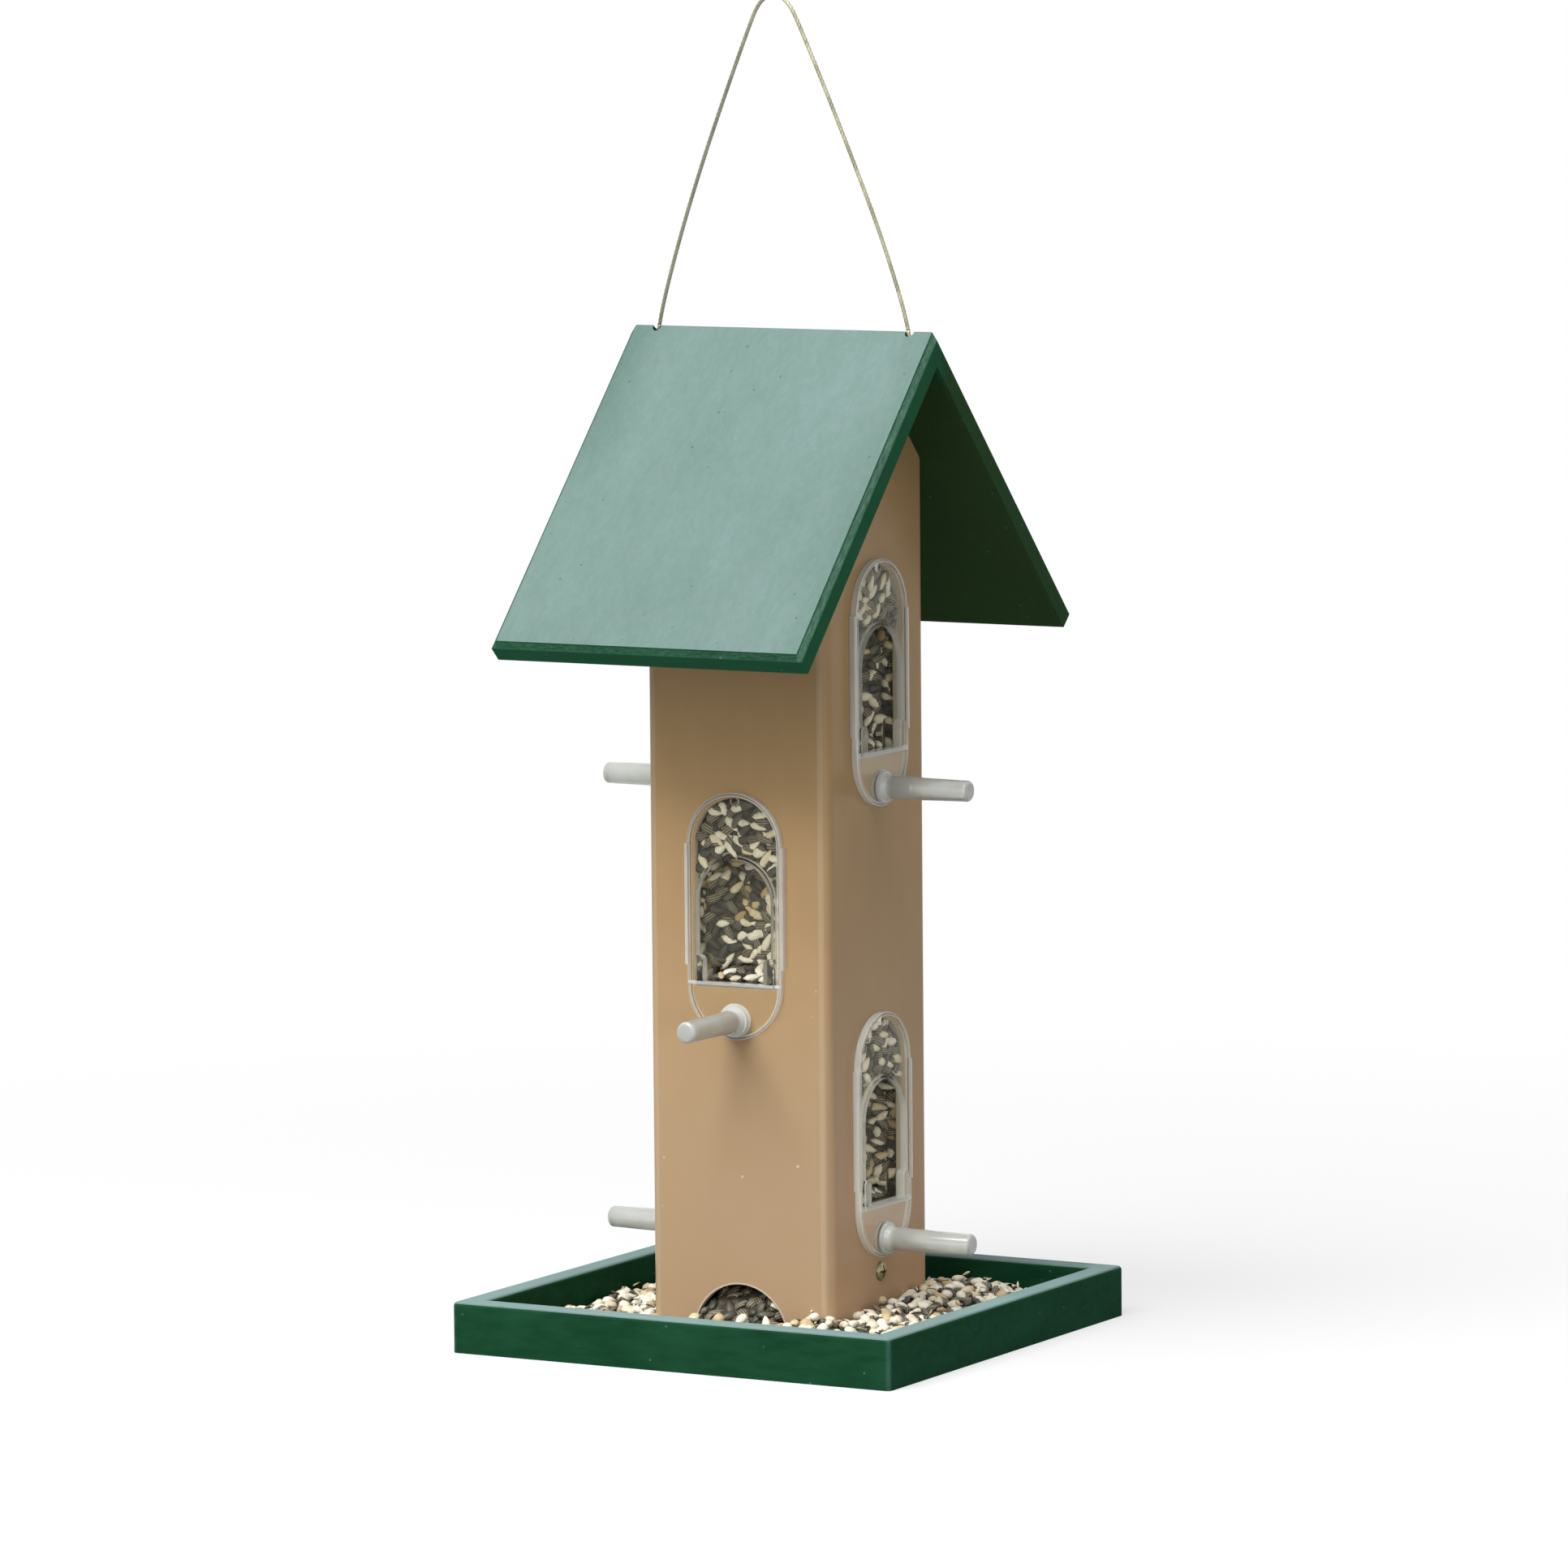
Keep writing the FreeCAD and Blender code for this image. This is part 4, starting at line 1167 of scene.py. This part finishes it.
def heap_depth(x, y):
    """The depth of the tray's heap in millimetres: deepest against the tower, thin towards the corners."""
    away = max(abs(x), abs(y)) - half_tower
    reach = math.hypot(x, y)
    share = heap_share(x / reach, y / reach)
    deep = share * (HEAP_SHALLOW + HEAP_RISE * math.exp(-max(away, 0) ** 2 / HEAP_REACH ** 2))
    corner = min(abs(x), abs(y)) / tray_inside
    deep *= 1 - HEAP_CORNER_LOSS * max(0.0, (corner - HEAP_CORNER) / HEAP_CORNER_RUN)
    lump = HEAP_LUMP * noise.noise(Vector((x, y, 0.2)) * HEAP_LUMP_SCALE)
    deep = max(0.0, deep + lump)
    for spill_x, spill_y, radius, depth in SPILLS:
        deep += depth * math.exp(-(math.hypot(x - spill_x, y - spill_y) / radius) ** 2)
    return deep


def tray_bed():
    """The heap in the tray, bare where it is thin and inside the tower."""
    bed = Bed()
    half = tray_inside - HEAP_SIDE_GAP
    ticks = np.linspace(-half, half, HEAP_TICKS)
    rows, cover, bare = [], [], []
    for y in ticks:
        row, thick, naked = [], [], []
        for x in ticks:
            deep = heap_depth(x, y)
            inside = max(abs(x), abs(y)) - half_tower < HEAP_TOWER_GAP
            row.append(Vector((x, y, tray_floor_top + max(HEAP_LEAST, deep) * MM)))
            thick.append(0.0 if inside else min(1.0, HEAP_STRAY_COVER + deep / HEAP_COVERED))
            naked.append(1.0 if inside or deep < HEAP_BARE else 0.0)
        rows.append(row)
        cover.append(thick)
        bare.append(naked)
    bed.sheet(rows, cover, 1.0, bare)
    return bed


def arch_bed():
    """The seed that runs out of the two arches, with pale seed only at its foot."""
    bed = Bed()
    columns, lines = ARCH_BED_POINTS
    inside_share, outside_share = ARCH_PALE_SHARES
    for sign in (-1, 1):
        rows, pale = [], []
        for share in np.linspace(0, 1, lines):
            y = sign * (half_tower + ARCH_BED_START + ARCH_BED_RUN * share)
            slope = ARCH_BED_TOP - ARCH_BED_FALL * share
            pale.append([inside_share if share < ARCH_PALE_FROM else outside_share] * columns)
            row = []
            for x in np.linspace(-ARCH_BED_HALF, ARCH_BED_HALF, columns):
                arch = math.sqrt((ARCH_RADIUS - ARCH_BED_GAP) ** 2 - x ** 2)
                row.append(Vector((x, y, tray_floor_top + min(slope, arch))))
            rows.append(row)
        bed.sheet(rows[::sign], 1.0, pale[::sign])
    return bed


def hopper_bed():
    """The top of the seed in the tower, mounded in the middle."""
    bed = Bed()
    half = half_tower - HOPPER_GAP
    ticks = np.linspace(-half, half, HOPPER_TICKS)
    rows = []
    for y in ticks:
        row = []
        for x in ticks:
            mound = HOPPER_MOUND * (1 - (x * x + y * y) / (2 * half * half))
            lump = HOPPER_LUMP * noise.noise(Vector((x, y, 0.5)) * HOPPER_LUMP_SCALE)
            row.append(Vector((x, y, HOPPER_FILL + mound + lump)))
        rows.append(row)
    bed.sheet(rows)
    return bed


def finish_seed_bed():
    """Dark husks and dust, and painted shade, on the ground between the seeds."""
    husk = Finish("seed_bed")
    mottle = husk.noise(260, detail=4.0)
    colour = husk.mix(husk.smooth(mottle, 0.35, 0.7), BED_SHADE, BED_DUST)
    husk.set(Base_Color=colour, Roughness=0.8)
    return husk.bump(mottle, 0.8, 1.2 * MM).material


def finish_dark_seed():
    """Black husks, most of them with grey stripes along them."""
    seed = Finish("dark_seed")
    tone = seed.out("ShaderNodeAttribute", {"attribute_name": "tone"}, name="Fac")
    across = seed.parts(seed.out("ShaderNodeUVMap", {"uv_map": "UVMap"}))[0]
    wave = seed.math("SINE", (across + 0.1 * tone) * 30)
    stripe = seed.smooth(wave, 0.1, 0.8) * seed.smooth(tone, 0.15, 0.7)
    husk = seed.mix(tone, HUSK_BLACK, HUSK_BROWN)
    colour = seed.mix(stripe * 0.8, husk, HUSK_STRIPE)
    seed.set(Base_Color=colour, Roughness=0.36 + 0.2 * tone)
    return seed.bump(wave, 0.25, 0.15 * MM).material


def finish_pale_seed():
    """Hulled kernels from cream to tan."""
    seed = Finish("pale_seed")
    tone = seed.out("ShaderNodeAttribute", {"attribute_name": "tone"}, name="Fac")
    mottle = seed.noise(420)
    colour = seed.out("ShaderNodeValToRGB", {"stops": KERNEL_TONES}, {0: tone})
    colour = seed.mix(seed.smooth(mottle, 0.5, 0.75) * 0.35, colour, KERNEL_MOTTLE)
    seed.set(Base_Color=colour, Roughness=0.5 + 0.15 * mottle)
    return seed.bump(mottle, 0.3, 0.3 * MM).material


def add_seeds():
    """Seed behind the ports, in the tray, in the arches and at the top of the tower."""
    tree = Strewing().tree
    shapes = {name: seed_shape(name, size) for name, size in SEEDS.items()}
    finishes = {
        "Bed Finish": finish_seed_bed(),
        "Dark Finish": finish_dark_seed(),
        "Pale Finish": finish_pale_seed(),
    }
    behind_ports = Bed()
    for port, turn in PORTS.items():
        port_beds(behind_ports, port, turn)
    chaff = tray_bed()
    chaff.marks["bare"] = [1.0] * len(chaff.vertices)
    beds = {
        "port_seeds": behind_ports,
        "tray_seeds": tray_bed(),
        "tray_chaff": chaff,
        "arch_seeds": arch_bed(),
        "hopper_seeds": hopper_bed(),
    }
    for name, bed in beds.items():
        way = STREWING[name]
        inputs = dict(finishes)
        lifts = (DARK_LIFT * way["lift"], way["lift"])
        for label, kind, spacing, lift in zip(("Dark", "Pale"), way["kinds"], way["spacing"], lifts):
            inputs[label + " Seed"] = shapes[kind]
            inputs[label + " Spacing"] = spacing * MM
            inputs[label + " Lift"] = lift * MM
        inputs["Pale Clusters"] = way["clusters"]
        inputs["Tilt"] = way["tilt"]
        inputs["Spin"] = way["spin"]
        inputs["Random"] = way["random"]
        strew(name, bed, tree, inputs)
    for shape in shapes.values():
        bpy.data.objects.remove(shape)


def add_camera():
    """The photograph's camera: turned round the feeder, slid off its axis and rolled."""
    angles = (VIEW_AZIMUTH, VIEW_ELEVATION, VIEW_ROLL)
    azimuth, elevation, roll = (math.radians(angle) for angle in angles)
    flat = math.cos(elevation)
    back = Vector((math.sin(azimuth) * flat, -math.cos(azimuth) * flat, math.sin(elevation)))
    right = Vector((math.cos(azimuth), math.sin(azimuth), 0))
    up = back.cross(right)
    target = Vector((0, 0, VIEW_TARGET_HEIGHT)) + right * VIEW_SLIDE_RIGHT + up * VIEW_SLIDE_UP
    rolled_right = right * math.cos(roll) + up * math.sin(roll)
    rolled_up = up * math.cos(roll) - right * math.sin(roll)
    camera = bpy.data.objects.new("camera", bpy.data.cameras.new("camera"))
    camera.data.lens = LENS
    camera.data.sensor_width = SENSOR
    camera.data.clip_end = VIEW_REACH
    turn = Matrix((rolled_right, rolled_up, back)).transposed()
    camera.matrix_world = Matrix.Translation(target + back * VIEW_DISTANCE) @ turn.to_4x4()
    bpy.context.scene.collection.objects.link(camera)
    bpy.context.scene.camera = camera


def add_lamp(name, place, width, height, power):
    """A soft lamp at a place, turned to the feeder."""
    lamp = bpy.data.objects.new(name, bpy.data.lights.new(name, "AREA"))
    lamp.data.shape = "RECTANGLE"
    lamp.data.size = width
    lamp.data.size_y = height
    lamp.data.energy = power
    way = Vector(LAMP_AIM) - Vector(place)
    lamp.rotation_euler = way.to_track_quat("-Z", "Y").to_euler()
    lamp.location = place
    lamp.visible_camera = False
    lamp.visible_transmission = False
    bpy.context.scene.collection.objects.link(lamp)


def seen_rays(graph):
    """1 on the camera's rays and on those that a mirror or a glass sends on, 0 past a matt surface."""
    path = graph.node("ShaderNodeLightPath")
    names = ("Is Camera Ray", "Is Glossy Ray", "Is Transmission Ray", "Diffuse Depth")
    camera, mirrored, through, matt = (Value(graph, path.outputs[name]) for name in names)
    return graph.most(camera, mirrored, through) * graph.math("LESS_THAN", matt, 0.5)


def add_floor():
    """A pale floor that fades to white."""
    corners = [(x * FLOOR_HALF, y * FLOOR_HALF, 0) for x, y in ((-1, -1), (1, -1), (1, 1), (-1, 1))]
    floor = Finish("studio_floor")
    seen = seen_rays(floor)
    pale = floor.mix(seen, FLOOR_UNSEEN, FLOOR_SEEN)
    floor.set(Base_Color=pale, Roughness=0.9, Specular_IOR_Level=0.0)
    away = floor.smooth(floor.reach(floor.x, floor.y), *FLOOR_FADE)
    glow = floor.out("ShaderNodeEmission", None, {"Color": WHITE, "Strength": 1.0})
    white = seen * (FLOOR_GLOW + (1 - FLOOR_GLOW) * away)
    material = floor.show(floor.blend(white, floor.body, glow))
    new_piece("studio_floor", corners, [(0, 1, 2, 3)], material)


def add_studio():
    """The floor, white surroundings that light the feeder from overhead, and soft lamps."""
    add_floor()
    world = bpy.data.worlds.new("studio")
    world.use_nodes = True
    bpy.context.scene.world = world
    sky = Graph(world.node_tree)
    way = sky.parts(sky.out("ShaderNodeTexCoord", name="Generated"))
    overhead = sky.most(way[2], 0.0)
    seen = seen_rays(sky)
    strength = seen + (1 - seen) * (SKY_LEAST + SKY_OVERHEAD * overhead)
    background = world.node_tree.nodes["Background"]
    sky.feed(background.inputs["Color"], WHITE)
    sky.feed(background.inputs["Strength"], strength)
    for name, (place, width, height, power) in LAMPS.items():
        add_lamp(name, place, width, height, power)
    bpy.context.scene.view_settings.view_transform = "Standard"


dress_nodes()
add_cable()
add_seeds()
add_camera()
add_studio()
